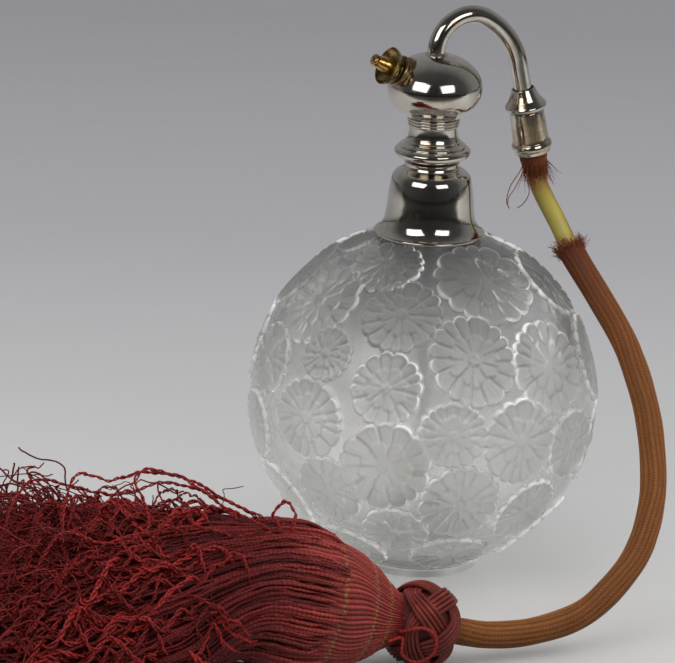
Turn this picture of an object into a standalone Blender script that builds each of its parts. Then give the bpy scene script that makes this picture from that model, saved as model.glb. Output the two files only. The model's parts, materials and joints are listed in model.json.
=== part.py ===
"""Perfume atomiser: glass globe, plated collar, spray head with a gooseneck, hose, squeeze bulb and tassel.

Metres, +Z up. The origin is the centre of the glass foot on the table. The spray head lies in the XZ plane:
the nozzle points towards -X and the gooseneck arches towards +X. The hose comes down in front of the globe,
on its -Y side, and the tassel lies on the table there.
"""

import math

import bmesh
import bpy
from mathutils import Matrix, Vector

MM = 0.001

# Glass bottle
GLOBE_RADIUS = 45 * MM
GLOBE_CENTRE_Z = 44.4 * MM
CAVITY_RADIUS = 40.5 * MM
CAVITY_CENTRE_Z = 44.9 * MM
FOOT_RADIUS = 16.05 * MM
GLASS_NECK_RADIUS = 8.6 * MM
GLASS_NECK_TOP_Z = 100.6 * MM
GLASS_BORE_RADIUS = 5.5 * MM

# Collar and its thread
COLLAR_TOP_Z = 106.4 * MM
THREAD_PITCH = 1.0 * MM
THREAD_DEPTH = 0.2 * MM
BUSH_THREAD_ROOT = 5.4 * MM
PLUG_THREAD_CORE = 4.65 * MM

# Spray head
BALL_CENTRE_Z = 125.4 * MM
BALL_RADIUS = 12.05 * MM
BALL_HALF_HEIGHT = 8.9 * MM
BALL_WALL = 1.15 * MM
NOZZLE_TILT = math.radians(26)  # the nozzle points up by this much
NOZZLE_HOLE_RADIUS = 4.4 * MM
GOOSENECK_RADIUS = 2.3 * MM
GOOSENECK_BORE = 1.5 * MM
GOOSENECK_FOOT_Z = 131.2 * MM
FIRST_BEND_RADIUS = 9.3 * MM
SECOND_BEND_RADIUS = 20 * MM

# Hose
FERRULE_TILT = math.radians(12)  # the ferrule's axis leans out from the vertical by this much
FERRULE_TOP = Vector((24.95, 0, 123.4)) * MM
HOSE_PIVOT_DEPTH = 20 * MM  # the hose starts this far down the ferrule's axis
HOSE_RADIUS = 2.4 * MM
HOSE_BORE = 1.4 * MM
SLEEVE_RADIUS = 3.35 * MM
SLEEVE_BORE = 2.75 * MM
SLEEVE_START_SHARE = 0.65  # of the way between the hose's fourth and fifth path points
# The points that the hose is laid through, from below the ferrule to just before the knot, in mm
HOSE_BENDS = (
    (30.9, -0.3, 97.0),
    (34.9, -2.6, 88.6),
    (37.8, -8.0, 80.0),
    (40.8, -17.5, 71.0),
    (42.5, -30.5, 61.0),
    (41.6, -43.1, 49.6),
    (38.3, -54.0, 39.4),
    (33.2, -63.5, 30.4),
    (26.0, -70.8, 21.9),
    (16.7, -75.0, 14.7),
    (7.5, -76.0, 9.2),
    (-4.5, -74.8, 6.2),
    (-15.8, -73.9, 6.3),
)

# Tassel
KNOT_PIVOT = Vector((-25.1, -72.8, 8.2)) * MM
TASSEL_HEADING = math.radians(172)  # the tassel's direction on the table, anticlockwise from +X
TASSEL_RISE = math.radians(15)  # the netted bulb is fatter than the knot, so its axis rises from the table
NET_THICKNESS = 0.9 * MM
BULB_WALL = 1.7 * MM
VALVE_BALL_RADIUS = 1.3 * MM
FRINGE_HEADING = math.radians(160)
FRINGE_STATIONS = (  # distance along the fringe, half width and height above the table, in mm
    (0, 20.0, 39.0),
    (14, 27.0, 39.5),
    (32, 39.0, 39.0),
    (50, 50.0, 36.0),
    (62, 50.0, 31.0),
    (71, 41.0, 22.0),
    (76, 24.0, 10.0),
)

ROUND = 24  # steps round a turned piece
SMALL_ROUND = 16
THREAD_SIDES = 20
HOSE_SIDES = 10
HOSE_SPACING = 7 * MM


# ---------------------------------------------------------------- helpers


def clear_scene():
    for old in list(bpy.data.objects):
        bpy.data.objects.remove(old, do_unlink=True)


def make_material(name, colour, roughness, metallic=0.0, transmission=0.0):
    made = bpy.data.materials.new(name)
    made.use_nodes = True
    shader = made.node_tree.nodes["Principled BSDF"]
    shader.inputs["Base Color"].default_value = (*colour, 1.0)
    shader.inputs["Roughness"].default_value = roughness
    shader.inputs["Metallic"].default_value = metallic
    shader.inputs["Transmission Weight"].default_value = transmission
    made.diffuse_color = (*colour, 1.0)
    return made


def make_frame(name, origin, direction):
    """An empty whose local +Z points along direction, for the pieces that share an axis."""
    frame = bpy.data.objects.new(name, None)
    frame.empty_display_size = 5 * MM
    turn = direction.to_track_quat("Z", "Y").to_matrix().to_4x4()
    frame.matrix_world = Matrix.Translation(origin) @ turn
    bpy.context.scene.collection.objects.link(frame)
    return frame


def add_object(name, mesh, material, frame=None):
    piece = bpy.data.objects.new(name, mesh)
    bpy.context.scene.collection.objects.link(piece)
    piece.parent = frame
    mesh.materials.append(material)
    mesh.shade_smooth()
    mesh.set_sharp_from_angle(angle=math.radians(35))
    return piece


def mesh_from(name, bm):
    bmesh.ops.remove_doubles(bm, verts=bm.verts, dist=1e-7)
    bmesh.ops.recalc_face_normals(bm, faces=bm.faces)
    mesh = bpy.data.meshes.new(name)
    bm.to_mesh(mesh)
    bm.free()
    return mesh


def turn_outline(name, outline, steps=ROUND):
    """Spins an outline of (radius, height) points round local Z: closed, or with both its ends on Z."""
    bm = bmesh.new()
    points = [bm.verts.new((radius, 0, height)) for radius, height in outline]
    pairs = list(zip(points, points[1:]))
    if outline[0][0] > 0 or outline[-1][0] > 0:
        pairs.append((points[-1], points[0]))
    edges = [bm.edges.new(pair) for pair in pairs]
    bmesh.ops.spin(
        bm, geom=points + edges, axis=(0, 0, 1), cent=(0, 0, 0), steps=steps, angle=math.tau, use_merge=True
    )
    return mesh_from(name, bm)


def turned(name, outline, material, frame=None, steps=ROUND):
    """A turned piece from an outline in millimetres."""
    in_metres = [(radius * MM, height * MM) for radius, height in outline]
    return add_object(name, turn_outline(name, in_metres, steps), material, frame)


def arc(centre_z, radius, start, end, steps, height=None):
    """Points (radius, z) in mm on a circle or ellipse; angles are degrees above the equator."""
    height = radius if height is None else height
    angles = [math.radians(start + (end - start) * i / steps) for i in range(steps + 1)]
    return [(radius * math.cos(a), centre_z + height * math.sin(a)) for a in angles]


def ball(name, radius, centre, material, frame=None):
    bm = bmesh.new()
    bmesh.ops.create_icosphere(bm, subdivisions=2, radius=radius)
    bmesh.ops.translate(bm, verts=bm.verts, vec=centre)
    return add_object(name, mesh_from(name, bm), material, frame)


def smooth_path(points, spacing):
    """A Catmull-Rom curve through the points, resampled at about this spacing."""
    fine = []
    padded = [2 * points[0] - points[1], *points, 2 * points[-1] - points[-2]]
    for a, b, c, d in zip(padded, padded[1:], padded[2:], padded[3:]):
        for i in range(16):
            t = i / 16
            square = (2 * a - 5 * b + 4 * c - d) * t**2
            cube = (3 * b - a - 3 * c + d) * t**3
            fine.append(0.5 * (2 * b + (c - a) * t + square + cube))
    fine.append(points[-1])
    lengths = [0.0]
    for a, b in zip(fine, fine[1:]):
        lengths.append(lengths[-1] + (b - a).length)
    count = round(lengths[-1] / spacing)
    path, place = [], 0
    for i in range(count + 1):
        wanted = lengths[-1] * i / count
        while place < len(fine) - 2 and lengths[place + 1] < wanted:
            place += 1
        share = (wanted - lengths[place]) / (lengths[place + 1] - lengths[place])
        path.append(fine[place].lerp(fine[place + 1], min(share, 1.0)))
    return path


def path_frames(path):
    """For each point of a path, two directions across it that don't twist from one point to the next."""
    ahead = [(path[min(i + 1, len(path) - 1)] - path[max(i - 1, 0)]).normalized() for i in range(len(path))]
    side = ahead[0].orthogonal().normalized()
    frames = []
    for direction in ahead:
        side = (side - side.project(direction)).normalized()
        frames.append((side, direction.cross(side)))
    return frames


def ring_of_points(bm, centre, across, radius, sides):
    first, second = across
    turns = [math.tau * i / sides for i in range(sides)]
    return [bm.verts.new(centre + radius * (math.cos(t) * first + math.sin(t) * second)) for t in turns]


def bridge_rings(bm, rings, looped):
    """Quads between each ring and the next, and from the last to the first if the rings form a loop."""
    sides = len(rings[0])
    following = rings[1:] + rings[:1] if looped else rings[1:]
    for ring, other in zip(rings, following):
        for i in range(sides):
            j = (i + 1) % sides
            bm.faces.new((ring[i], ring[j], other[j], other[i]))


def tube_mesh(name, path, radius, bore, sides=HOSE_SIDES, origin=None, round_start=False, round_end=False):
    """A hollow tube along a path. A rounded end is half a ball on the path's end, open at the bore."""
    origin = origin or Vector((0, 0, 0))
    frames = path_frames(path)
    bm = bmesh.new()
    outer = [ring_of_points(bm, p - origin, f, radius, sides) for p, f in zip(path, frames)]
    inner = [ring_of_points(bm, p - origin, f, bore, sides) for p, f in zip(path, frames)]
    if round_start:
        back = (path[0] - path[1]).normalized()
        outer = dome_rings(bm, path[0] - origin, back, frames[0], radius, bore, sides)[::-1] + outer
    if round_end:
        front = (path[-1] - path[-2]).normalized()
        outer += dome_rings(bm, path[-1] - origin, front, frames[-1], radius, bore, sides)
    bridge_rings(bm, outer + inner[::-1], looped=True)
    return mesh_from(name, bm)


def dome_rings(bm, centre, outward, across, radius, bore, sides):
    widest = math.acos(min(1.0, (bore + 0.4 * MM) / radius))
    angles = [widest * step / 3 for step in (1, 2, 3)]
    return [
        ring_of_points(bm, centre + radius * math.sin(a) * outward, across, radius * math.cos(a), sides)
        for a in angles
    ]


def threaded_surface(bm, start_z, length, radius_at, sides=THREAD_SIDES, rows_per_pitch=3):
    """Rings whose radius follows a screw thread that fades out over its first and last half pitch."""
    rows = round(length / THREAD_PITCH * rows_per_pitch)
    rings = []
    for row in range(rows + 1):
        z = start_z + length * row / rows
        fade = min(1.0, 2 * (z - start_z) / THREAD_PITCH, 2 * (start_z + length - z) / THREAD_PITCH)
        ring = []
        for i in range(sides):
            turn = math.tau * i / sides
            crest = 0.5 + 0.5 * math.cos(math.tau * z / THREAD_PITCH - turn)
            radius = radius_at(max(fade, 0.0) * crest)
            ring.append(bm.verts.new((radius * math.cos(turn), radius * math.sin(turn), z)))
        rings.append(ring)
    return rings


def plain_rings(bm, outline, sides=THREAD_SIDES):
    across = (Vector((1, 0, 0)), Vector((0, 1, 0)))
    return [ring_of_points(bm, Vector((0, 0, z * MM)), across, r * MM, sides) for r, z in outline]


def cut(piece, cutter):
    """Takes the cutter's shape out of the piece and hides the cutter."""
    cutter.hide_render = True
    cutter.display_type = "WIRE"
    modifier = piece.modifiers.new("cut", "BOOLEAN")
    modifier.operation = "DIFFERENCE"
    modifier.solver = "EXACT"
    modifier.object = cutter


# ---------------------------------------------------------------- materials

clear_scene()

GLASS = make_material("frosted_glass", (0.86, 0.89, 0.88), 0.28, transmission=0.8)
CLEAR_GLASS = make_material("clear_glass", (0.90, 0.93, 0.92), 0.05, transmission=0.9)
PLASTER = make_material("plaster", (0.80, 0.78, 0.72), 0.9)
NICKEL = make_material("nickel_plate", (0.66, 0.63, 0.58), 0.13, metallic=1.0)
BRASS = make_material("brass", (0.72, 0.52, 0.24), 0.24, metallic=1.0)
STEEL = make_material("steel_ball", (0.70, 0.70, 0.70), 0.15, metallic=1.0)
CORK = make_material("cork", (0.20, 0.13, 0.08), 0.85)
RUBBER = make_material("aged_rubber", (0.48, 0.42, 0.13), 0.45)
BRAID = make_material("golden_braid", (0.36, 0.19, 0.06), 0.75)
STUMP = make_material("frayed_braid", (0.20, 0.05, 0.03), 0.85)
CRIMSON = make_material("crimson_silk", (0.24, 0.035, 0.035), 0.6)
NET = make_material("bulb_net_silk", (0.26, 0.07, 0.06), 0.65)
KNOT_SILK = make_material("knot_silk", (0.24, 0.07, 0.045), 0.6)
BULB_RUBBER = make_material("bulb_rubber", (0.10, 0.03, 0.025), 0.5)
THREAD = make_material("binding_thread", (0.30, 0.24, 0.14), 0.8)


# ---------------------------------------------------------------- bottle and collar


def glass_bottle():
    foot = FOOT_RADIUS / MM
    neck = GLASS_NECK_RADIUS / MM
    bore = GLASS_BORE_RADIUS / MM
    top = GLASS_NECK_TOP_Z / MM
    outside = [(0, 0), (foot - 0.45, 0), (foot, 0.5), (foot, 2.2)]
    outside += arc(GLOBE_CENTRE_Z / MM, GLOBE_RADIUS / MM, -68.4, 78, 14)
    outside += [(neck, 89.6), (neck, top - 0.6), (neck - 0.5, top), (bore + 0.6, top),
        (bore, top - 0.6)]
    inside = [(bore, 90.5), (6.3, 87.2)]
    inside += arc(CAVITY_CENTRE_Z / MM, CAVITY_RADIUS / MM, 78, -90, 11)
    inside[-1] = (0, inside[-1][1])
    return turned("glass_bottle", outside + inside, GLASS, steps=32)


def neck_cement():
    outline = [(8.95, 91.2), (10.45, 91.6), (10.1, 95.5), (9.75, 98.6), (9.5, 99.8), (8.95, 99.8)]
    return turned("neck_cement", outline, PLASTER)


def bell_collar():
    top = COLLAR_TOP_Z / MM
    outside = [(6.3, top), (6.95, top), (6.95, 105.4), (7.25, 104.75), (8.1, 104.1),
        (9.2, 103.35), (9.95, 102.3)]
    outside += [(10.3, 101.2), (10.7, 98.6), (11.0, 95.5), (11.45, 91.6), (12.0, 90.2),
        (12.9, 89.0), (13.8, 88.2)]
    rim = [(14.07, 87.8), (13.95, 87.5), (13.3, 87.8)]
    inside = [(11.5, 89.9), (10.9, 91.5), (10.15, 98.6), (9.75, 101.1), (8.8, 102.8),
        (6.9, 104.1), (6.3, 104.9)]
    return turned("bell_collar", outside + rim + inside, NICKEL)


def collar_thread_insert():
    """The bush in the collar's neck: a plain outside with a seat flange, and an internal screw thread."""
    bm = bmesh.new()
    outside = plain_rings(bm, [(5.7, 101.0), (8.6, 101.0), (8.6, 101.8), (6.0, 101.9),
        (6.0, 106.2), (5.6, 106.2)])
    thread = threaded_surface(
        bm, 101.5 * MM, 4.3 * MM, lambda crest: BUSH_THREAD_ROOT - THREAD_DEPTH * crest
    )
    bridge_rings(bm, outside + thread[::-1], looped=True)
    return add_object("collar_thread_insert", mesh_from("collar_thread_insert", bm), BRASS)


# ---------------------------------------------------------------- spray head


def neck_washer():
    return turned("neck_washer", [(5.0, 106.75), (6.7, 106.75), (6.7, 107.15), (5.0, 107.15)], CORK)


def dip_tube_gasket():
    return turned("dip_tube_gasket", [(2.35, 100.1), (3.6, 100.1), (3.6, 101.0), (2.35, 101.0)], CORK)


def screw_mount():
    """A threaded plug below, the flange with its coves, and the narrow neck that carries the ball."""
    bm = bmesh.new()
    lower = plain_rings(bm, [(2.3, 101.3), (4.2, 101.3)])
    thread = threaded_surface(
        bm, 101.7 * MM, 4.2 * MM, lambda crest: PLUG_THREAD_CORE + THREAD_DEPTH * crest
    )
    core = PLUG_THREAD_CORE / MM
    flange = [(core, 106.4), (core, 107.4), (8.6, 107.45), (9.35, 107.9), (9.7, 108.6),
        (9.7, 109.2), (9.4, 109.75)]
    coves = [(8.6, 110.15), (8.35, 110.7), (7.75, 111.05), (7.3, 111.25), (7.05, 111.9), (6.55, 112.4)]
    neck = [(6.3, 113.3), (6.18, 114.5), (6.2, 115.7), (6.45, 116.1), (6.45, 116.45), (6.25, 116.65)]
    seat = [(6.6, 116.95), (6.6, 117.3), (6.4, 117.6), (4.65, 117.6), (4.65, 119.6), (2.3, 119.6)]
    upper = plain_rings(bm, flange + coves + neck + seat)
    bridge_rings(bm, lower + thread + upper, looped=True)
    return add_object("screw_mount", mesh_from("screw_mount", bm), NICKEL)


def head_ball(nozzle_frame):
    centre = BALL_CENTRE_Z / MM
    wide, tall, wall = BALL_RADIUS / MM, BALL_HALF_HEIGHT / MM, BALL_WALL / MM
    outside = arc(centre, wide, -55.9, 77.3, 10, height=tall)
    inside = arc(centre, wide - wall, 75.9, -62.4, 7, height=tall - wall)
    piece = turned("head_ball", outside + inside + [(5.0, 118.02)], NICKEL)
    hole = NOZZLE_HOLE_RADIUS / MM
    cut(piece, turned("nozzle_drill", [(0, 16), (hole, 16), (hole, 4), (0, 4)], NICKEL, nozzle_frame))
    return piece


def nozzle_pieces(frame):
    base = [(1.55, 8.6), (3.4, 8.6), (4.1, 9.0), (4.1, 11.9), (3.85, 12.2), (2.9, 12.25),
        (2.9, 12.5), (1.55, 12.5)]
    turned("nozzle_base", base, BRASS, frame, steps=SMALL_ROUND)
    cup = [(2.05, 12.85), (2.9, 12.9), (3.6, 13.2), (4.35, 13.8), (4.8, 14.5), (5.0, 15.2)]
    cup += [(4.65, 15.2), (4.45, 14.7), (4.0, 14.1), (3.4, 13.65), (2.7, 13.35), (2.05, 13.35)]
    turned("nozzle_cup", cup, BRASS, frame)
    tip = [(1.1, 12.85), (1.7, 12.85), (1.7, 13.7), (2.25, 13.9), (2.25, 14.4), (1.35, 17.6),
        (0.95, 18.7)]
    tip += [(1.15, 18.95), (1.15, 19.4), (0.9, 19.65), (0.35, 19.65), (0.35, 18.6), (1.1, 16.4)]
    turned("nozzle_tip", tip, BRASS, frame, steps=SMALL_ROUND)


def gooseneck_path():
    """Up out of the ball, over in two bends, and down along the ferrule's axis."""
    path = [Vector((0, 0, GOOSENECK_FOOT_Z)), Vector((0, 0, 134.4 * MM))]
    centre = path[-1] + Vector((FIRST_BEND_RADIUS, 0, 0))
    for step in range(1, 11):
        turn = math.radians(180 - 12 * step)
        path.append(centre + FIRST_BEND_RADIUS * Vector((math.cos(turn), 0, math.sin(turn))))
    start = math.radians(60)
    centre = path[-1] - SECOND_BEND_RADIUS * Vector((math.cos(start), 0, math.sin(start)))
    for step in range(1, 6):
        turn = start - (start - FERRULE_TILT) * step / 5
        path.append(centre + SECOND_BEND_RADIUS * Vector((math.cos(turn), 0, math.sin(turn))))
    down = Vector((math.sin(FERRULE_TILT), 0, -math.cos(FERRULE_TILT)))
    path.append(FERRULE_TOP + 4.9 * MM * down)
    return path


def gooseneck_tube():
    mesh = tube_mesh("gooseneck_tube", gooseneck_path(), GOOSENECK_RADIUS, GOOSENECK_BORE)
    return add_object("gooseneck_tube", mesh, NICKEL)


def ferrule_pieces(frame):
    cap = [(2.65, 0), (2.95, 0), (3.15, 0.5), (4.2, 2.9), (5.1, 4.2), (5.35, 4.7), (5.3, 5.2),
        (4.9, 5.5), (2.65, 5.5)]
    turned("ferrule_cap", cap, NICKEL, frame)
    sleeve = [(2.2, 5.85), (4.3, 5.85), (4.45, 6.1), (4.65, 14.6), (5.0, 14.9), (5.2, 15.6),
        (5.0, 16.3), (4.75, 16.7)]
    sleeve += [(4.75, 17.2), (4.15, 17.2), (4.15, 7.3), (2.2, 7.3)]
    turned("hose_ferrule", sleeve, NICKEL, frame)
    nipple = [(1.1, 5.35), (1.9, 5.35), (1.9, 7.65), (3.6, 7.65), (3.6, 8.3), (1.9, 8.3),
        (1.9, 9.6), (2.1, 9.7)]
    nipple += [(1.8, 11.4), (2.1, 11.5), (1.8, 13.2), (2.1, 13.3), (1.7, 15.0), (1.1, 15.0)]
    turned("hose_nipple", nipple, BRASS, frame, steps=SMALL_ROUND)


def liquid_path():
    """Up through the mount, round an elbow at the ball's centre, and out along the nozzle's axis."""
    elbow = 5 * MM
    turn = math.pi / 2 - NOZZLE_TILT
    start = Vector((0, 0, BALL_CENTRE_Z - elbow * math.tan(turn / 2)))
    path = [Vector((0, 0, 101.2 * MM)), start]
    for step in range(1, 7):
        part = turn * step / 6
        path.append(start + elbow * Vector((math.cos(part) - 1, 0, math.sin(part))))
    outward = Vector((-math.cos(NOZZLE_TILT), 0, math.sin(NOZZLE_TILT)))
    path.append(Vector((0, 0, BALL_CENTRE_Z)) + 15.2 * MM * outward)
    return path


def liquid_pieces():
    mesh = tube_mesh("liquid_tube", liquid_path(), 0.75 * MM, 0.4 * MM, sides=8)
    add_object("liquid_tube", mesh, BRASS)
    socket = [(1.15, 104.2), (1.15, 100.1), (1.8, 99.9), (1.8, 96.8), (2.3, 96.8), (2.5, 98.6),
        (3.6, 98.7), (3.6, 99.8)]
    socket += [(2.0, 99.8), (2.0, 104.2)]
    turned("dip_tube_socket", socket[::-1], BRASS, steps=SMALL_ROUND)
    tube = [(0.9, 99.5), (0.9, 8.0), (1.2, 7.5), (1.5, 8.0), (1.5, 99.5)]
    turned("dip_tube", tube, CLEAR_GLASS, steps=SMALL_ROUND)


# ---------------------------------------------------------------- hose


def hose_path(pivot, down):
    points = [pivot, pivot + 3 * MM * down, *(Vector(p) * MM for p in HOSE_BENDS), KNOT_PIVOT]
    return smooth_path(points, HOSE_SPACING)


def hose_pieces(pivot, down):
    path = hose_path(pivot, down)
    hose = tube_mesh("rubber_hose", path, HOSE_RADIUS, HOSE_BORE, sides=8, origin=pivot, round_start=True)
    place_at(add_object("rubber_hose", hose, RUBBER), pivot)
    covered = [path[3].lerp(path[4], SLEEVE_START_SHARE)] + path[4:]
    sleeve = tube_mesh(
        "braided_sleeve", covered, SLEEVE_RADIUS, SLEEVE_BORE, sides=HOSE_SIDES, origin=pivot,
        round_end=True,
    )
    place_at(add_object("braided_sleeve", sleeve, BRAID), pivot)
    place_at(turned("braid_stump", [(2.8, 0.6), (3.3, 0.6), (3.3, 2.4),
        (2.8, 2.4)], STUMP, steps=SMALL_ROUND), pivot)


def place_at(piece, location):
    piece.location = location
    return piece


# ---------------------------------------------------------------- tassel


def net_outline():
    """Outer radius of the net against distance along the tassel's axis, in mm."""
    return [(7.4, 17.3), (10.6, 21.5), (14.6, 28), (17.6, 36), (18.5, 44), (17.6, 52), (15.2, 58.5)]


def knot_and_bindings(frame):
    knot = [(4.2, 0.8), (5.4, 0.8), (7.9, 2.4), (9.6, 5.0), (10.1, 8.5), (9.7, 12.0), (8.6, 14.8),
        (7.3, 16.8)]
    knot += [(6.1, 16.9), (6.0, 12.2), (4.2, 11.8)]
    turned("tassel_knot", knot, KNOT_SILK, frame)
    turned("neck_binding", [(4.95, 13.0), (5.65, 13.0), (5.65, 16.0),
        (4.95, 16.0)], THREAD, frame, steps=SMALL_ROUND)
    turned("tail_binding", [(4.75, 66.9), (5.5, 66.9), (5.5, 68.3),
        (4.75, 68.3)], THREAD, frame, steps=SMALL_ROUND)


def bulb_pieces(frame):
    thickness = NET_THICKNESS / MM
    outer = net_outline()
    inner = [(radius - thickness, along) for radius, along in outer[::-1]]
    turned("bulb_net", outer + inner, NET, frame)
    skin = [(radius - thickness - 0.35, along) for radius, along in outer[1:]]
    wall = BULB_WALL / MM
    outside = [(4.6, 12.6), (4.6, 16.6), (6.2, 18.2)] + skin + [(10.6, 63.0), (6.2, 65.6),
        (4.4, 66.6), (4.4, 68.5)]
    hollow = [(radius - wall, along) for radius, along in skin[::-1]]
    inside = [(3.2, 68.5), (3.2, 66.0), (5.4, 64.2), (9.4, 61.4)] + hollow + [(4.2, 18.9),
        (3.15, 17.2), (3.15, 12.6)]
    turned("rubber_bulb", outside + inside, BULB_RUBBER, frame)


def valve_pieces(frame):
    outlet = [(0.9, 9.8), (2.8, 9.8), (2.8, 18.4), (0.9, 18.4), (0.9, 15.8), (1.7, 15.2),
        (1.7, 11.4), (0.9, 10.8)]
    turned("outlet_valve_body", outlet[::-1], BRASS, frame, steps=SMALL_ROUND)
    ball("outlet_valve_ball", VALVE_BALL_RADIUS, Vector((0, 0, 13.8 * MM)), STEEL, frame)
    inlet = [(0.9, 63.0), (2.85, 63.0), (2.85, 68.9), (4.2, 69.0), (4.2, 70.2), (2.6, 70.3),
        (2.6, 71.4), (0.9, 71.4)]
    inlet += [(0.9, 69.8), (1.7, 69.2), (1.7, 64.9), (0.9, 64.3)]
    turned("inlet_valve_body", inlet, BRASS, frame, steps=SMALL_ROUND)
    ball("inlet_valve_ball", VALVE_BALL_RADIUS, Vector((0, 0, 66.9 * MM)), STEEL, frame)
    cap = [(1.2, 71.7), (3.7, 71.7), (3.7, 72.8), (3.2, 73.2), (1.2, 73.2)]
    turned("valve_cap", cap, BRASS, frame, steps=SMALL_ROUND)
    cord = [(2.2, 73.6), (7.6, 73.6), (9.0, 74.8), (9.0, 78.6), (7.6, 80.0), (2.2, 80.0)]
    turned("tassel_head_cord", cord, CRIMSON, frame, steps=SMALL_ROUND)


def fringe_section(bm, centre, heading, half_width, top, sides=20):
    """One cross-section of the fringe: flat on the table, with a rounded top."""
    across = Vector((-math.sin(heading), math.cos(heading), 0))
    ring = []
    floor = 0.6 * MM
    for i in range(sides):
        turn = math.tau * i / sides
        wide = math.copysign(abs(math.cos(turn)) ** 0.75, math.cos(turn))
        high = math.sin(turn)
        height = floor + (top - floor) * (0.32 + 0.68 * high if high > 0 else 0.32 * (1 + high))
        ring.append(bm.verts.new(centre + half_width * wide * across + Vector((0, 0, height))))
    return ring


def tassel_fringe(tassel_frame, along):
    bm = bmesh.new()
    start = (KNOT_PIVOT + 53 * MM * along).to_2d().to_3d()
    direction = Vector((math.cos(FRINGE_HEADING), math.sin(FRINGE_HEADING), 0))
    rings = []
    for far, half_width, top in FRINGE_STATIONS:
        centre = start + far * MM * direction
        rings.append(fringe_section(bm, centre, FRINGE_HEADING, half_width * MM, top * MM))
    bridge_rings(bm, rings, looped=False)
    bm.faces.new(rings[0])
    bm.faces.new(rings[-1])
    piece = add_object("tassel_fringe", mesh_from("tassel_fringe", bm), CRIMSON)
    hollow = [(0, 44), (19.3, 44), (19.3, 50), (18.2, 55), (16.4, 60), (12.4, 65), (10.0, 70),
        (9.6, 81), (0, 81)]
    room = turn_outline("fringe_hollow", [(radius * MM, height * MM) for radius, height in hollow])
    cut(piece, add_object("fringe_hollow", room, CRIMSON, tassel_frame))
    return piece


# ---------------------------------------------------------------- assembly


def build():
    glass_bottle()
    neck_cement()
    bell_collar()
    collar_thread_insert()

    neck_washer()
    dip_tube_gasket()
    screw_mount()
    nozzle_direction = Vector((-math.cos(NOZZLE_TILT), 0, math.sin(NOZZLE_TILT)))
    nozzle_frame = make_frame("nozzle_axis", Vector((0, 0, BALL_CENTRE_Z)), nozzle_direction)
    head_ball(nozzle_frame)
    nozzle_pieces(nozzle_frame)
    gooseneck_tube()
    liquid_pieces()

    down = Vector((math.sin(FERRULE_TILT), 0, -math.cos(FERRULE_TILT)))
    ferrule_frame = make_frame("ferrule_axis", FERRULE_TOP, down)
    ferrule_pieces(ferrule_frame)
    pivot = FERRULE_TOP + HOSE_PIVOT_DEPTH * down
    hose_pieces(pivot, down)

    flat = Vector((math.cos(TASSEL_HEADING), math.sin(TASSEL_HEADING), 0)) * math.cos(TASSEL_RISE)
    along = flat + Vector((0, 0, math.sin(TASSEL_RISE)))
    tassel_frame = make_frame("tassel_axis", KNOT_PIVOT, along)
    knot_and_bindings(tassel_frame)
    bulb_pieces(tassel_frame)
    valve_pieces(tassel_frame)
    tassel_fringe(tassel_frame, along)


build()
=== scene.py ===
"""Visual model of the perfume atomiser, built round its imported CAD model, in the same frame and in metres.

Lengths in the tables below are in millimetres. Every random draw comes from a seeded generator.
"""

import json
import math

import bpy
import numpy as np
from mathutils import Matrix, Vector


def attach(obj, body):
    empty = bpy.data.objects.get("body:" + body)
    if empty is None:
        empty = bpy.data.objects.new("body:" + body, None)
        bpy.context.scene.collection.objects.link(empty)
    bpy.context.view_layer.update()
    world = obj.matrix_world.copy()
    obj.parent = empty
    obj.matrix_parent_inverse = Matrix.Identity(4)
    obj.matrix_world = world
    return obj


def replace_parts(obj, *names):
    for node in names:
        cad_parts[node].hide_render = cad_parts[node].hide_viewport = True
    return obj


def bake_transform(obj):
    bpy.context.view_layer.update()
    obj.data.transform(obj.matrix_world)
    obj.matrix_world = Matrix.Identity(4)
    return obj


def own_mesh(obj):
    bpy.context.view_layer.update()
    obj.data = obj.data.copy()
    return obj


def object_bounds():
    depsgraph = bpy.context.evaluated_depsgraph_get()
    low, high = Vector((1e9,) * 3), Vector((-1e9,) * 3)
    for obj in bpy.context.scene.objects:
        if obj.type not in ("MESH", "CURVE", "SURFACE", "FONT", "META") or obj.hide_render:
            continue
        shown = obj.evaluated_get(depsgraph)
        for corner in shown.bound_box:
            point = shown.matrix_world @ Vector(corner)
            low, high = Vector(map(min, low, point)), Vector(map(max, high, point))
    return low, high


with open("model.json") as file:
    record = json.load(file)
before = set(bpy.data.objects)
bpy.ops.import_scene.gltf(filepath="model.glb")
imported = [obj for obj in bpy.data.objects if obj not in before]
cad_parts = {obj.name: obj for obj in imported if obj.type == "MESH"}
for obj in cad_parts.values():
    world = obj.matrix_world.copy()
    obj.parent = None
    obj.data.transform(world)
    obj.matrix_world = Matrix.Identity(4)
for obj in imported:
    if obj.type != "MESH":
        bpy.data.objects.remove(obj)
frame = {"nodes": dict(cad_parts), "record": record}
cad_low, cad_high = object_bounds()

MM = 0.001
JOINT = {joint["name"]: joint for joint in frame["record"]["behaviour"]["joints"]}


# ---------------------------------------------------------------- numbers shared by the pieces

BALL_CENTRE = np.array(JOINT["nozzle_turn"]["pos_m"])
NOZZLE_AXIS = np.array(JOINT["nozzle_turn"]["axis"])
FERRULE_TOP = np.array(JOINT["ferrule_turn"]["pos_m"])
FERRULE_DOWN = np.array(JOINT["ferrule_turn"]["axis"])
HOSE_PIVOT = np.array(JOINT["hose_swing"]["pos_m"])
KNOT = np.array(JOINT["tassel_swing"]["pos_m"])
TASSEL_AXIS = np.array(JOINT["inlet_ball_close"]["axis"])
UP = np.array((0.0, 0.0, 1.0))

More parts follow.
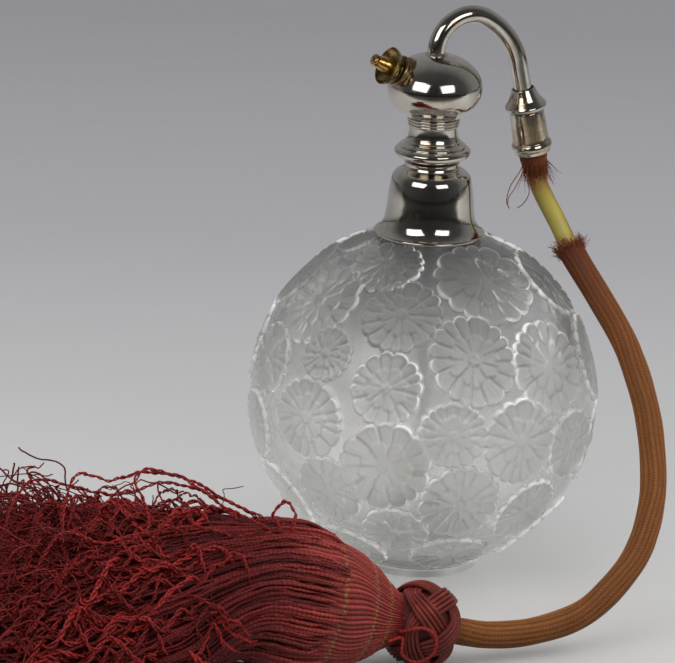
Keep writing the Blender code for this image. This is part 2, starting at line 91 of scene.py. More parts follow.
GLOBE_RADIUS = 45.0
GLOBE_CENTRE_Z = 44.4
HOSE_BENDS = (
    (30.9, -0.3, 97.0),
    (34.9, -2.6, 88.6),
    (37.8, -8.0, 80.0),
    (40.8, -17.5, 71.0),
    (42.5, -30.5, 61.0),
    (41.6, -43.1, 49.6),
    (38.3, -54.0, 39.4),
    (33.2, -63.5, 30.4),
    (26.0, -70.8, 21.9),
    (16.7, -75.0, 14.7),
    (7.5, -76.0, 9.2),
    (-4.5, -74.8, 6.2),
    (-15.8, -73.9, 6.3),
)
SLEEVE_RADIUS = 3.3
HOSE_RADIUS = 2.4
FRINGE_HEADING = math.radians(160)
TABLE_GAP = 0.35


# ---------------------------------------------------------------- mesh helpers


def unit(v):
    return v / np.linalg.norm(v, axis=-1, keepdims=True)


def new_piece(name, mesh, material, body, node=None):
    """A piece that rides on a body and may stand for a CAD node."""
    piece = bpy.data.objects.new(name, mesh)
    bpy.context.scene.collection.objects.link(piece)
    mesh.materials.append(material)
    if body:
        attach(piece, body)
    if node:
        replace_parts(piece, node)
    return piece


def mesh_from_arrays(name, points, faces_by_size, smooth=True):
    """A mesh facing outward, from an array of points in metres and one integer array per face size."""
    mesh = bpy.data.meshes.new(name)
    faces_by_size = [f for f in faces_by_size if len(f)]
    corners = np.concatenate([f.ravel() for f in faces_by_size])
    totals = np.concatenate([np.full(len(f), f.shape[1]) for f in faces_by_size])
    mesh.vertices.add(len(points))
    mesh.vertices.foreach_set("co", np.ascontiguousarray(points, np.float32).ravel())
    mesh.loops.add(len(corners))
    mesh.loops.foreach_set("vertex_index", corners.astype(np.int32))
    mesh.polygons.add(len(totals))
    mesh.polygons.foreach_set("loop_start", (np.cumsum(totals) - totals).astype(np.int32))
    mesh.update(calc_edges=True)
    mesh.validate()
    if smooth:
        mesh.shade_smooth()
    face_outward(mesh)
    return mesh


def point_values(mesh, name, values):
    layer = mesh.attributes.new(name, "FLOAT", "POINT")
    layer.data.foreach_set("value", np.ascontiguousarray(values, np.float32).ravel())


def swept(turn, first, second):
    """Directions at these angles, from the first of two directions at right angles towards the second."""
    return np.cos(turn)[..., None] * first + np.sin(turn)[..., None] * second


def whole_turn(steps):
    return np.arange(steps) * math.tau / steps


def grid_faces(rows, columns, looped=False):
    """Quads of a grid whose columns wrap round, and whose rows do too if it's looped."""
    i = np.arange(rows if looped else rows - 1)[:, None]
    j = np.arange(columns)[None, :]
    after, beside = (i + 1) % rows, (j + 1) % columns
    quads = [i * columns + j, i * columns + beside, after * columns + beside, after * columns + j]
    return np.stack(quads, -1).reshape(-1, 4)


def ring_skin(name, points):
    """A closed skin over (rows, columns, 3) points in metres, whose last row joins the first."""
    return mesh_from_arrays(name, points.reshape(-1, 3), [grid_faces(*points.shape[:2], looped=True)])


def revolved(name, outline, origin, axis, steps=96, sharp=50):
    """The mesh of a turned piece. The outline holds (radius, distance along the axis) in mm."""
    outline = np.array(outline, float)
    first = unit(np.cross(axis, (0.0, 1.0, 0.0) if abs(axis[1]) < 0.9 else (1.0, 0.0, 0.0)))
    second = np.cross(axis, first)
    across = swept(whole_turn(steps), first, second)
    on_axis = (outline[0, 0] < 1e-6, outline[-1, 0] < 1e-6)
    rings = outline[int(on_axis[0]) : len(outline) - int(on_axis[1])]
    points = origin + MM * (rings[:, 1, None, None] * axis + rings[:, 0, None, None] * across[None])
    points = points.reshape(-1, 3)
    quads = grid_faces(len(rings), steps, looped=not any(on_axis))
    fans = []
    column = np.arange(steps)
    for at_end, is_pole in enumerate(on_axis):
        if not is_pole:
            continue
        pole = origin + MM * outline[-at_end if at_end else 0, 1] * axis
        points = np.vstack([points, pole])
        base = (len(rings) - 1) * steps if at_end else 0
        ring = np.stack([base + column, base + (column + 1) % steps, np.full(steps, len(points) - 1)], -1)
        fans.append(ring if at_end else ring[:, ::-1])
    mesh = mesh_from_arrays(name, points, [quads] + fans)
    mesh.set_sharp_from_angle(angle=math.radians(sharp))
    return mesh


def face_outward(mesh):
    """Turns every face of a closed mesh round if its volume comes out negative."""
    mesh.calc_loop_triangles()
    triangles = np.empty(len(mesh.loop_triangles) * 3, np.int32)
    mesh.loop_triangles.foreach_get("vertices", triangles)
    points = np.empty(len(mesh.vertices) * 3, np.float32)
    mesh.vertices.foreach_get("co", points)
    a, b, c = points.reshape(-1, 3).astype(float)[triangles.reshape(-1, 3)].transpose(1, 0, 2)
    if (a * np.cross(b, c)).sum() < 0:
        mesh.flip_normals()


def rounded(outline, radius=0.25, steps=3):
    """The closed outline with each corner taken off by a small curve."""
    points = np.array(outline, float)
    made = []
    for before, corner, after in zip(np.roll(points, 1, 0), points, np.roll(points, -1, 0)):
        if corner[0] < 1e-6:
            made.append(corner)
            continue
        ends = []
        for other in (before, after):
            length = np.linalg.norm(other - corner)
            ends.append(corner + (other - corner) * min(radius, 0.4 * length) / max(length, 1e-9))
        for t in np.linspace(0, 1, steps + 1):
            made.append((1 - t) ** 2 * ends[0] + 2 * t * (1 - t) * corner + t**2 * ends[1])
    return np.array(made)


def curve_through(points, per_span):
    """A Catmull-Rom curve through the points, in any number of dimensions."""
    points = np.array(points, float)
    padded = np.vstack([2 * points[0] - points[1], points, 2 * points[-1] - points[-2]])
    t = np.arange(per_span)[:, None] / per_span
    spans = []
    for a, b, c, d in zip(padded, padded[1:], padded[2:], padded[3:]):
        square, cube = 2 * a - 5 * b + 4 * c - d, 3 * b - a - 3 * c + d
        spans.append(0.5 * (2 * b + (c - a) * t + square * t**2 + cube * t**3))
    return np.vstack(spans + [points[-1:]])


def resampled(path, spacing):
    """The path with its points set evenly, near this spacing, and the distance along it."""
    lengths = np.concatenate([[0], np.cumsum(np.linalg.norm(np.diff(path, axis=0), axis=1))])
    along = np.linspace(0, lengths[-1], max(2, round(lengths[-1] / spacing) + 1))
    return np.stack([np.interp(along, lengths, path[:, k]) for k in range(path.shape[1])], -1), along


def travelling_frames(paths):
    """Two directions across each path of an (N, M, 3) array that turn no more than they must."""
    ahead = unit(np.gradient(paths, axis=1) + 1e-12)
    helper = np.where(np.abs(ahead[:, :1, 2:]) < 0.9, UP, np.array((1.0, 0.0, 0.0)))[:, 0]
    side = np.cross(ahead[:, 0], helper)
    sides = []
    for i in range(paths.shape[1]):
        side = unit(side - (side * ahead[:, i]).sum(-1, keepdims=True) * ahead[:, i])
        sides.append(side)
    sides = np.stack(sides, 1)
    return sides, np.cross(ahead, sides)


def path_frames(path):
    """The same two directions for a single path."""
    return (directions[0] for directions in travelling_frames(path[None]))


TWIST_OFFSET = 0.77  # mm by which each strand's twist starts later than the last one's


def strand_mesh(name, paths, radii, sides=4, values=None, roots=None):
    """Closed tubes along (N, M, 3) paths in metres, with (N, M) radii.

    Values give each strand its tint, and roots (N, M) the share of the net's colour at each point.
    """
    paths = np.asarray(paths, float)
    radii = np.broadcast_to(radii, paths.shape[:2])[..., None, None]
    first, second = travelling_frames(paths)
    ring = swept((np.arange(sides) + 0.5) * math.tau / sides, first[:, :, None], second[:, :, None])
    points = (paths[:, :, None] + radii * ring).reshape(-1, 3)
    count, length = paths.shape[:2]
    quads = grid_faces(length, sides)[None] + (np.arange(count) * length * sides)[:, None, None]
    quads = quads[:, : (length - 1) * sides]
    start = np.arange(sides)[None] + (np.arange(count) * length * sides)[:, None]
    caps = np.concatenate([start, start[:, ::-1] + (length - 1) * sides])
    mesh = mesh_from_arrays(name, points, [quads.reshape(-1, 4), caps])
    steps = np.linalg.norm(np.diff(paths, axis=1, prepend=paths[:, :1]), axis=-1) / MM
    along = np.cumsum(steps, axis=1) + TWIST_OFFSET * np.arange(count)[:, None]
    point_values(mesh, "along", np.repeat(along.ravel(), sides))
    if values is not None:
        point_values(mesh, "tint", np.repeat(values, length * sides))
    if roots is not None:
        point_values(mesh, "root", np.repeat(roots.ravel(), sides))
    return mesh


PLY_SHARE = 0.56  # radius of one ply, and how far it stands off the middle, against the whole yarn's radius


def plied(paths, radii, plies, pitch_mm):
    """Each path replaced by a few thinner ones twisted round it, with their radii."""
    paths = np.asarray(paths, float)
    radii = np.broadcast_to(radii, paths.shape[:2])
    first, second = travelling_frames(paths)
    steps = np.linalg.norm(np.diff(paths, axis=1, prepend=paths[:, :1]), axis=-1)
    twist = np.cumsum(steps, axis=1) / (pitch_mm * MM) * math.tau
    thin = PLY_SHARE * radii
    made = [paths + thin[..., None] * swept(twist + start, first, second) for start in whole_turn(plies)]
    return np.concatenate(made), np.concatenate([thin] * plies)


def ramp01(x, low, high):
    t = np.clip((x - low) / (high - low), 0, 1)
    return t * t * (3 - 2 * t)


def wander(rng, count, steps, waves, rough=1.0):
    """Smooth random wobble between about -1 and 1: (count, steps) values made of a few sine waves."""
    t = np.linspace(0, 1, steps)
    total = np.zeros((count, steps))
    for k in range(1, 5):
        cycles = waves * k * rng.uniform(0.7, 1.3, (count, 1))
        total += np.sin(math.tau * (cycles * t + rng.random((count, 1)))) / k**rough
    return total / 1.6


# ---------------------------------------------------------------- material helpers


class Nodes:
    """Adds nodes to one node tree, and returns their outputs."""

    def __init__(self, tree, coordinates):
        self.tree = tree
        self.place = self.node("ShaderNodeTexCoord").outputs[coordinates]

    def node(self, kind, settings=None, **links):
        made = self.tree.nodes.new(kind)
        for key, value in (settings or {}).items():
            setattr(made, key, value)
        for key, value in links.items():
            self.feed(made.inputs[key.replace("_", " ")], value)
        return made

    def feed(self, socket, value):
        if isinstance(value, bpy.types.NodeSocket):
            self.tree.links.new(value, socket)
        elif hasattr(value, "__len__") and socket.type == "RGBA" and len(value) == 3:
            socket.default_value = (*value, 1.0)
        else:
            socket.default_value = value

    def noise(self, size_mm, detail=4.0, roughness=0.55, stretch=None):
        place = self.place
        if stretch:
            place = self.node("ShaderNodeMapping", Vector=place, Scale=stretch).outputs[0]
        made = self.node("ShaderNodeTexNoise", Vector=place, Scale=1000 / size_mm, Detail=detail)
        made.inputs["Roughness"].default_value = roughness
        return made.outputs["Fac"]

    def ramp(self, value, *stops):
        made = self.node("ShaderNodeValToRGB", Fac=value)
        elements = made.color_ramp.elements
        while len(elements) < len(stops):
            elements.new(0.5)
        for element, (position, colour) in zip(elements, stops):
            element.position = position
            element.color = (*colour, 1) if hasattr(colour, "__len__") else (colour,) * 3 + (1,)
        return made.outputs["Color"]

    def mix(self, share, first, second, how="MIX"):
        made = self.node("ShaderNodeMix", {"data_type": "RGBA", "blend_type": how})
        self.feed(made.inputs["Factor"], share)
        self.feed(made.inputs[6], first)
        self.feed(made.inputs[7], second)
        return made.outputs[2]

    def maths(self, how, first, second=0.5, third=0.5):
        made = self.node("ShaderNodeMath", {"operation": how})
        for socket, value in zip(made.inputs, (first, second, third)):
            self.feed(socket, value)
        return made.outputs[0]

    def camera_ray(self):
        return self.node("ShaderNodeLightPath").outputs["Is Camera Ray"]


class Shade(Nodes):
    """One node material."""

    def __init__(self, name):
        self.material = bpy.data.materials.new(name)
        self.material.use_nodes = True
        super().__init__(self.material.node_tree, "Object")
        self.shader = self.tree.nodes["Principled BSDF"]

    def value(self, name):
        return self.node("ShaderNodeAttribute", {"attribute_name": name}).outputs["Fac"]

    def axis(self, letter):
        return self.node("ShaderNodeSeparateXYZ", Vector=self.place).outputs[letter]

    def bump(self, height, distance_mm, strength=1.0):
        made = self.node("ShaderNodeBump", Height=height, Strength=strength)
        made.inputs["Distance"].default_value = distance_mm * MM
        self.feed(self.shader.inputs["Normal"], made.outputs[0])

    def set(self, **inputs):
        for key, value in inputs.items():
            self.feed(self.shader.inputs[key.replace("_", " ")], value)
        return self


def frosted_glass():
    s = Shade("frosted_flower_glass")
    frost, crease, edge = s.value("frost"), s.value("crease"), s.value("edge")
    grain = s.noise(0.3, 3)
    cloud = s.noise(11, 4)
    milk = s.ramp(cloud, (0.3, (0.55, 0.555, 0.532)), (0.7, (0.64, 0.645, 0.617)))
    patina = s.maths("MULTIPLY", crease, s.ramp(s.noise(13, 3), (0.40, 0.10), (0.60, 1.0)))
    tinted = s.mix(s.maths("MULTIPLY", patina, 0.65), milk, (0.40, 0.33, 0.27))
    # Painted shade: the grooves and rims of the petals are greyed darker.
    tinted = s.mix(s.maths("MULTIPLY", crease, 0.4), tinted, (0.42, 0.42, 0.41))
    stain = s.ramp(s.noise(6, 2), (0.70, 0.0), (0.76, 0.5))
    tinted = s.mix(stain, tinted, (0.72, 0.70, 0.42))
    # Painted shade: the glass is painted darker towards the top of the globe.
    crown_shade = s.ramp(s.axis("Z"), (0.050, 1.0), (0.084, 0.36))
    colour = s.mix(1.0, s.mix(frost, (0.95, 0.95, 0.95), tinted), crown_shade, "MULTIPLY")
    grazing = s.node("ShaderNodeLayerWeight").outputs["Facing"]
    grazing_shade = s.ramp(grazing, (0.22, 1.0), (0.85, 0.58))  # painted shade at grazing angles, where a look passes through more glass
    colour = s.mix(1.0, colour, grazing_shade, "MULTIPLY")
    lit_edge = s.maths("MULTIPLY", edge, s.ramp(s.noise(16, 2), (0.40, 0.15), (0.60, 0.85)))
    see_through = s.maths("MULTIPLY_ADD", frost, -0.13, 0.98)
    s.set(
        Base_Color=s.mix(lit_edge, colour, (0.97, 0.97, 0.97)),
        Roughness=s.maths("MULTIPLY_ADD", frost, 0.26, s.maths("MULTIPLY_ADD", grain, 0.06, 0.06)),
        Transmission_Weight=s.maths("SUBTRACT", see_through, s.maths("MULTIPLY", lit_edge, 0.6)),
        IOR=1.48,
        Specular_IOR_Level=0.28,
    )
    ripple = s.maths("MULTIPLY", s.noise(3.0, 2), 1.8)
    s.bump(s.maths("ADD", s.maths("MULTIPLY", grain, 0.35), ripple), 0.08, 0.6)
    return s.material


def clear_glass():
    s = Shade("drawn_glass_tube")
    s.set(
        Base_Color=s.ramp(s.noise(6, 2), (0.3, (0.62, 0.66, 0.64)), (0.7, (0.75, 0.79, 0.77))),
        Roughness=s.ramp(s.noise(1.5, 3), (0.3, 0.03), (0.8, 0.14)),
        Transmission_Weight=0.85,
    )
    return s.material


def plated(name, wear_from=0.62, brass_share=0.5):
    """Nickel plate with fine scratches, dull patches, and brass showing through where it's worn."""
    s = Shade(name)
    patches = s.noise(5, 5)
    scratches = s.noise(0.5, 5, 0.7, stretch=(1, 1, 0.18))
    worn = s.ramp(s.noise(7, 4, 0.6), (wear_from, 0.0), (wear_from + 0.10, 1.0))
    nickel = s.ramp(patches, (0.3, (0.50, 0.47, 0.41)), (0.7, (0.67, 0.63, 0.56)))
    brass = s.ramp(scratches, (0.3, (0.36, 0.23, 0.08)), (0.7, (0.56, 0.39, 0.15)))
    dull = s.ramp(scratches, (0.35, 0.06), (0.8, 0.15))
    s.set(
        Base_Color=s.mix(s.maths("MULTIPLY", worn, brass_share), nickel, brass),
        Metallic=1.0,
        Roughness=s.maths("ADD", dull, s.maths("MULTIPLY", worn, 0.10)),
    )
    s.bump(s.maths("ADD", s.maths("MULTIPLY", scratches, 0.5), s.noise(3.5, 2)), 0.035, 0.4)
    return s.material


def brassy(name, dark=(0.17, 0.10, 0.04), light=(0.66, 0.45, 0.17), roughness=0.2):
    s = Shade(name)
    tarnish = s.noise(2.2, 5, 0.65)
    s.set(
        Base_Color=s.ramp(tarnish, (0.32, dark), (0.52, light), (0.85, tuple(1.2 * c for c in light))),
        Metallic=1.0,
        Roughness=s.ramp(tarnish, (0.3, roughness + 0.22), (0.65, roughness)),
    )
    s.bump(s.noise(0.6, 4), 0.03, 0.5)
    return s.material


def steel():
    s = Shade("valve_ball_steel")
    s.set(
        Base_Color=s.ramp(s.noise(1.2, 4), (0.3, (0.55, 0.55, 0.56)), (0.7, (0.72, 0.72, 0.73))),
        Metallic=1.0,
        Roughness=s.ramp(s.noise(0.4, 4), (0.3, 0.12), (0.8, 0.3)),
    )
    return s.material


def grainy(name, dark, light, size_mm, roughness, depth_mm):
    """A matt grained surface, for plaster, cork and dull rubber."""
    s = Shade(name)
    grain = s.noise(size_mm, 6, 0.65)
    s.set(
        Base_Color=s.ramp(grain, (0.3, dark), (0.7, light)),
        Roughness=s.ramp(grain, (0.3, roughness), (0.8, roughness - 0.15)),
    )
    s.bump(grain, depth_mm, 0.8)
    return s.material


def aged_rubber():
    s = Shade("aged_yellow_rubber")
    # Painted highlight: the side of the hose that faces the camera is painted a brighter yellow down its
    # middle.
    facing_highlight = s.ramp(s.value("facing_camera"), (0.0, 0.0), (0.35, 0.25), (0.5, 1.0), (0.65, 0.25), (1.0, 0.0))
    fine = s.noise(3.0, 4, stretch=(1, 1, 0.12))
    body = s.ramp(fine, (0.3, (0.115, 0.072, 0.006)), (0.7, (0.20, 0.155, 0.014)))
    body = s.mix(s.maths("MULTIPLY", facing_highlight, 0.55), body, (0.50, 0.45, 0.11))
    # Painted shade: the sides turned away from the camera are painted darker brown.
    side_shade = s.ramp(s.value("facing_camera"), (0.10, (0.42, 0.30, 0.16)), (0.42, (1.0, 1.0, 1.0)))
    body = s.mix(1.0, body, side_shade, "MULTIPLY")
    stain = s.ramp(s.value("ends"), (0.0, 0.0), (1.0, 1.0))
    stain = s.maths("MULTIPLY", stain, s.ramp(s.noise(2.2, 4), (0.3, 0.55), (0.7, 1.0)))
    body = s.mix(stain, body, (0.20, 0.045, 0.012))
    s.set(
        Base_Color=body,
        Roughness=s.ramp(fine, (0.3, 0.30), (0.8, 0.5)),
        Subsurface_Weight=0.2,
        Subsurface_Scale=0.0012,
        Subsurface_Radius=(1.0, 0.8, 0.3),
    )
    s.bump(fine, 0.06, 0.5)
    return s.material


TWIST_PITCH = 1.15  # mm along a thread from one turn of its twist to the next


def threads(name, dark, light, roughness=0.5, sheen=0.03, tint=0.6, hollow_shade=None, root=None, size_mm=0.5):
    """Silky thread: fine fibres, tone changes from strand to strand, and either painted shade in the hollows
    or a twist along it with painted shade in its grooves.
    """
    s = Shade(name)
    fibre = s.noise(size_mm, 4, 0.7)
    cloud = s.noise(11, 4)
    mixed = s.maths("ADD", s.maths("MULTIPLY", fibre, 0.6), s.maths("MULTIPLY", cloud, 0.4))
    colour = s.ramp(mixed, (0.3, dark), (0.72, light))
    if root:
        rooted = s.ramp(mixed, (0.3, tuple(0.45 * c for c in root)), (0.72, root))
        colour = s.mix(s.value("root"), colour, rooted)
    strand = s.ramp(s.value("tint"), (0.0, 0.50), (0.5, 1.0), (1.0, 1.55))
    colour = s.mix(tint, colour, s.mix(1.0, colour, strand, "MULTIPLY"))
    height = fibre
    # Painted shade: the hollows are painted towards a dark colour.
    if hollow_shade:
        colour = s.mix(s.maths("MULTIPLY", s.value("hollow_shade"), 0.9), colour, hollow_shade)
    else:
        # Painted shade in the twist's grooves and a faint painted highlight on its ridges: the colour is
        # multiplied down to 0.62 and up to 1.1 along the twist.
        slip = s.maths("MULTIPLY", cloud, 9.0)
        turns = s.maths("MULTIPLY_ADD", s.value("along"), math.tau / TWIST_PITCH, slip)
        twist = s.maths("MULTIPLY_ADD", s.maths("SINE", turns), 0.5, 0.5)
        colour = s.mix(1.0, colour, s.ramp(twist, (0.0, 0.62), (0.5, 1.0), (1.0, 1.1)), "MULTIPLY")
        height = s.maths("ADD", fibre, s.maths("MULTIPLY", twist, 0.9))
    s.set(Base_Color=colour, Roughness=s.ramp(fibre, (0.3, roughness + 0.12), (0.8, roughness - 0.1)))
    s.set(Sheen_Weight=sheen, Sheen_Roughness=0.4, Sheen_Tint=light, Specular_IOR_Level=0.22)
    s.bump(height, 0.12, 0.8)
    return s


def with_stain(s, attribute, stain):
    """Mixes a stain over the shade's colour wherever the mesh's attribute asks for it."""
    plain = s.shader.inputs["Base Color"].links[0].from_socket
    s.set(Base_Color=s.mix(s.value(attribute), plain, stain))
    return s


FROSTED = frosted_glass()
CLEAR = clear_glass()
NICKEL = plated("worn_nickel_plate")
FERRULE_NICKEL = plated("ferrule_nickel_plate", 0.50, 0.65)
GOOSENECK_NICKEL = plated("gooseneck_nickel_plate", 0.58, 0.6)
GILT = brassy("gilt_nozzle", dark=(0.10, 0.05, 0.015), light=(0.60, 0.38, 0.12), roughness=0.14)
BOWL_GILT = brassy("gilt_bowl", dark=(0.05, 0.03, 0.015), light=(0.36, 0.25, 0.10), roughness=0.16)
DARK_BRASS = brassy("tarnished_brass", dark=(0.06, 0.045, 0.03), light=(0.30, 0.21, 0.10), roughness=0.24)
BRASS = brassy("turned_brass")
STEEL = steel()
PLASTER = grainy("set_plaster", (0.62, 0.60, 0.54), (0.82, 0.80, 0.74), 0.8, 0.95, 0.1)
CORK = grainy("pressed_cork", (0.07, 0.04, 0.025), (0.26, 0.17, 0.10), 0.7, 0.9, 0.15)
BULB_RUBBER = grainy("dull_red_rubber", (0.07, 0.02, 0.018), (0.13, 0.04, 0.03), 1.6, 0.6, 0.06)
RUBBER = aged_rubber()
# The braid's dark colour is painted shade for the hollows of its weave.
BRAID = threads("golden_braid", (0.110, 0.032, 0.004), (0.24, 0.086, 0.012), hollow_shade=(0.030, 0.008, 0.003))
BRAID = with_stain(BRAID, "burnt", (0.075, 0.017, 0.005)).material
FRAYED = threads("frayed_braid", (0.085, 0.018, 0.006), (0.22, 0.060, 0.018), 0.7, 0.08).material
NET_RED = (0.27, 0.034, 0.028)
CRIMSON = threads(
    "crimson_strands", (0.030, 0.0016, 0.0018), (0.115, 0.0062, 0.0062), tint=0.9, root=NET_RED
).material
BRIGHT_CRIMSON = threads(
    "bright_crimson_yarn", (0.085, 0.0045, 0.0045), (0.24, 0.014, 0.012), tint=0.8
).material
FINE_CRIMSON = threads(
    "crimson_frizz", (0.045, 0.0024, 0.0024), (0.16, 0.010, 0.009), 0.55, tint=0.9
).material
KNOT_SILK = threads("knot_cord", (0.070, 0.0095, 0.0065), (0.20, 0.030, 0.022), 0.42, 0.05, tint=0.8).material
WHIPPING = grainy("waxed_whipping", (0.16, 0.11, 0.06), (0.36, 0.29, 0.17), 0.4, 0.8, 0.12)


def net_material():
    # The hollow colour is painted shade between the net's ribs.
    dark, light, hollow = (0.12, 0.014, 0.012), (0.30, 0.042, 0.034), (0.022, 0.003, 0.003)
    s = threads("ribbed_net", dark, light, 0.55, 0.06, hollow_shade=hollow, size_mm=0.4)
    gold = s.ramp(s.noise(0.8, 3), (0.3, (0.10, 0.058, 0.015)), (0.7, (0.22, 0.14, 0.04)))
    plain = s.shader.inputs["Base Color"].links[0].from_socket
    s.set(Base_Color=s.mix(s.value("gold"), plain, gold))
    return s.material


NET_SILK = net_material()


# ---------------------------------------------------------------- glass bottle

FRONT_FLOWERS = (  # longitude, latitude and angular radius of the flower heads of one side, in degrees
    (-127, 43, 13.5), (-98, 28, 15.5), (-129, 18, 12.5), (-154, 26, 9.5), (-170, 42, 15.5), (177, 18, 12),
    (-157, 4, 14), (-128, -8, 16), (-106, 4, 11.5), (-82, 0, 14.5), (-66, 22, 16.5), (-80, 56, 18),
    (-125, -34, 11), (-149, -20, 12.5), (-102, -21, 14.5), (171, -7, 12), (-57, -6, 13), (-73, -28, 12.5),
    (-146, 62, 12.5),
)
FILL_SIZES = (15.0, 13.0, 11.0, 9.0, 7.0)
CHANNEL_DEPTH = 0.85
CHANNEL_FROST = 0.45
FOOT_EDGE = 0.7  # how much of the foot is lit like a ground edge
LOWEST_FLOWER, HIGHEST_FLOWER = -66, 76  # latitudes that the smaller heads stay between
FILL_CANDIDATES = 1500
CAVITY_RADIUS = 40.5
CAVITY_CENTRE_Z = 44.9
GOLDEN_ANGLE = 2.399963  # radians round the globe from one candidate to the next


def direction(longitude, latitude):
    lon, lat = np.broadcast_arrays(np.radians(longitude), np.radians(latitude))
    return np.stack([np.cos(lat) * np.cos(lon), np.cos(lat) * np.sin(lon), np.sin(lat)], -1)


def flower_heads():
    """The listed heads, then smaller and smaller ones wherever the rest of the globe has room for them."""
    heads = [(direction(lon, lat), radius) for lon, lat, radius in FRONT_FLOWERS]
    index = np.arange(FILL_CANDIDATES)
    height = 1 - 2 * (index + 0.5) / FILL_CANDIDATES
    spiral = direction(np.degrees(index * GOLDEN_ANGLE), np.degrees(np.arcsin(height)))
    for radius in FILL_SIZES:
        for candidate in spiral:
            latitude = math.degrees(math.asin(candidate[2]))
            if not LOWEST_FLOWER + radius <= latitude <= HIGHEST_FLOWER - radius:
                continue
            gaps = [math.degrees(math.acos(np.clip(candidate @ c, -1, 1))) - r for c, r in heads]
            if min(gaps) > 0.90 * radius:
                heads.append((candidate, radius))
    return heads


def flower_relief(directions):
    """Height in mm over the channels, and shares of frost, crease and lit edge, for unit directions."""
    rng = np.random.default_rng(7)
    height, frost, crease, lit = np.zeros((4, len(directions)))
    for centre, size in flower_heads():
        petals = int(rng.integers(13, 18))
        spin, wave, wave_turn = rng.random() * math.tau, rng.uniform(0.02, 0.05), rng.random() * math.tau
        cosine = directions @ centre
        near = np.flatnonzero(cosine > math.cos(math.radians(size * 1.12)))
        east = unit(np.cross(UP, centre))
        north = np.cross(centre, east)
        v = directions[near]
        turn = np.arctan2(v @ north, v @ east) + spin
        far = np.degrees(np.arccos(np.clip(cosine[near], -1, 1))) / size
        turn = turn + 0.07 * np.sin(3 * turn + wave_turn) + 0.05 * np.sin(5 * turn - wave_turn)
        bend = turn + 0.03 * np.sin(far * 5 + wave_turn)
        half = np.abs(np.cos(petals * bend / 2))
        edge = (0.88 + 0.12 * half**0.5) * (1 + wave * np.sin(2 * turn + wave_turn))
        inside = ramp01(edge - far, -0.005, 0.06)
        groove = np.exp(-((half / 0.22) ** 2)) * ramp01(far, 0.36, 0.56)
        vein = np.exp(-((np.sin(petals * bend / 2) / 0.14) ** 2))
        vein = vein * ramp01(far, 0.45, 0.6) * (1 - ramp01(far, 0.72, 0.90))
        inner_petals = petals // 2 + 1
        inner_half = np.abs(np.cos(inner_petals * bend / 2 + 0.9))
        inner_edge = 0.46 + 0.12 * inner_half + 0.03 * np.sin(5 * turn + wave_turn)
        inner = ramp01(inner_edge - far, 0, 0.035)
        inner_groove = np.exp(-((inner_half / 0.22) ** 2)) * inner * ramp01(far, 0.14, 0.24)
        heart = ramp01(0.15 - far, 0, 0.05) * (0.8 + 0.4 * np.cos(6 * turn))
        sagitta = GLOBE_RADIUS * (1 - math.cos(math.radians(size)))
        dish = 0.56 * sagitta * np.clip(1 - far**2, 0, 1)
        lip = 0.20 * np.exp(-(((edge - far - 0.07) / 0.05) ** 2))
        rise = CHANNEL_DEPTH * inside - dish + lip * inside - 0.50 * groove * inside
        rise = rise + 0.16 * vein * inside + 0.34 * inner - 0.42 * inner_groove + 0.34 * heart
        shown = rise * inside
        higher = (inside > 0.02) & ((frost[near] < 0.02) | (shown + 0.3 * inside > height[near] + 0.15))
        at = near[higher]
        height[at] = shown[higher]
        frost[at] = np.maximum(frost[at], inside[higher])
        rim = np.exp(-(((edge - far) / 0.04) ** 2))
        crease[at] = np.clip(groove * 0.9 + rim + 0.8 * inner_groove, 0, 1)[higher]
        lit[at] = np.exp(-(((edge - far - 0.045) / 0.030) ** 2))[higher]
    return height, frost, crease, lit


def plain_rows(profile, columns):
    """A row of a constant (radius, z) for each point of the profile."""
    return [np.tile((float(r), float(z)), (columns, 1)) for r, z in profile]


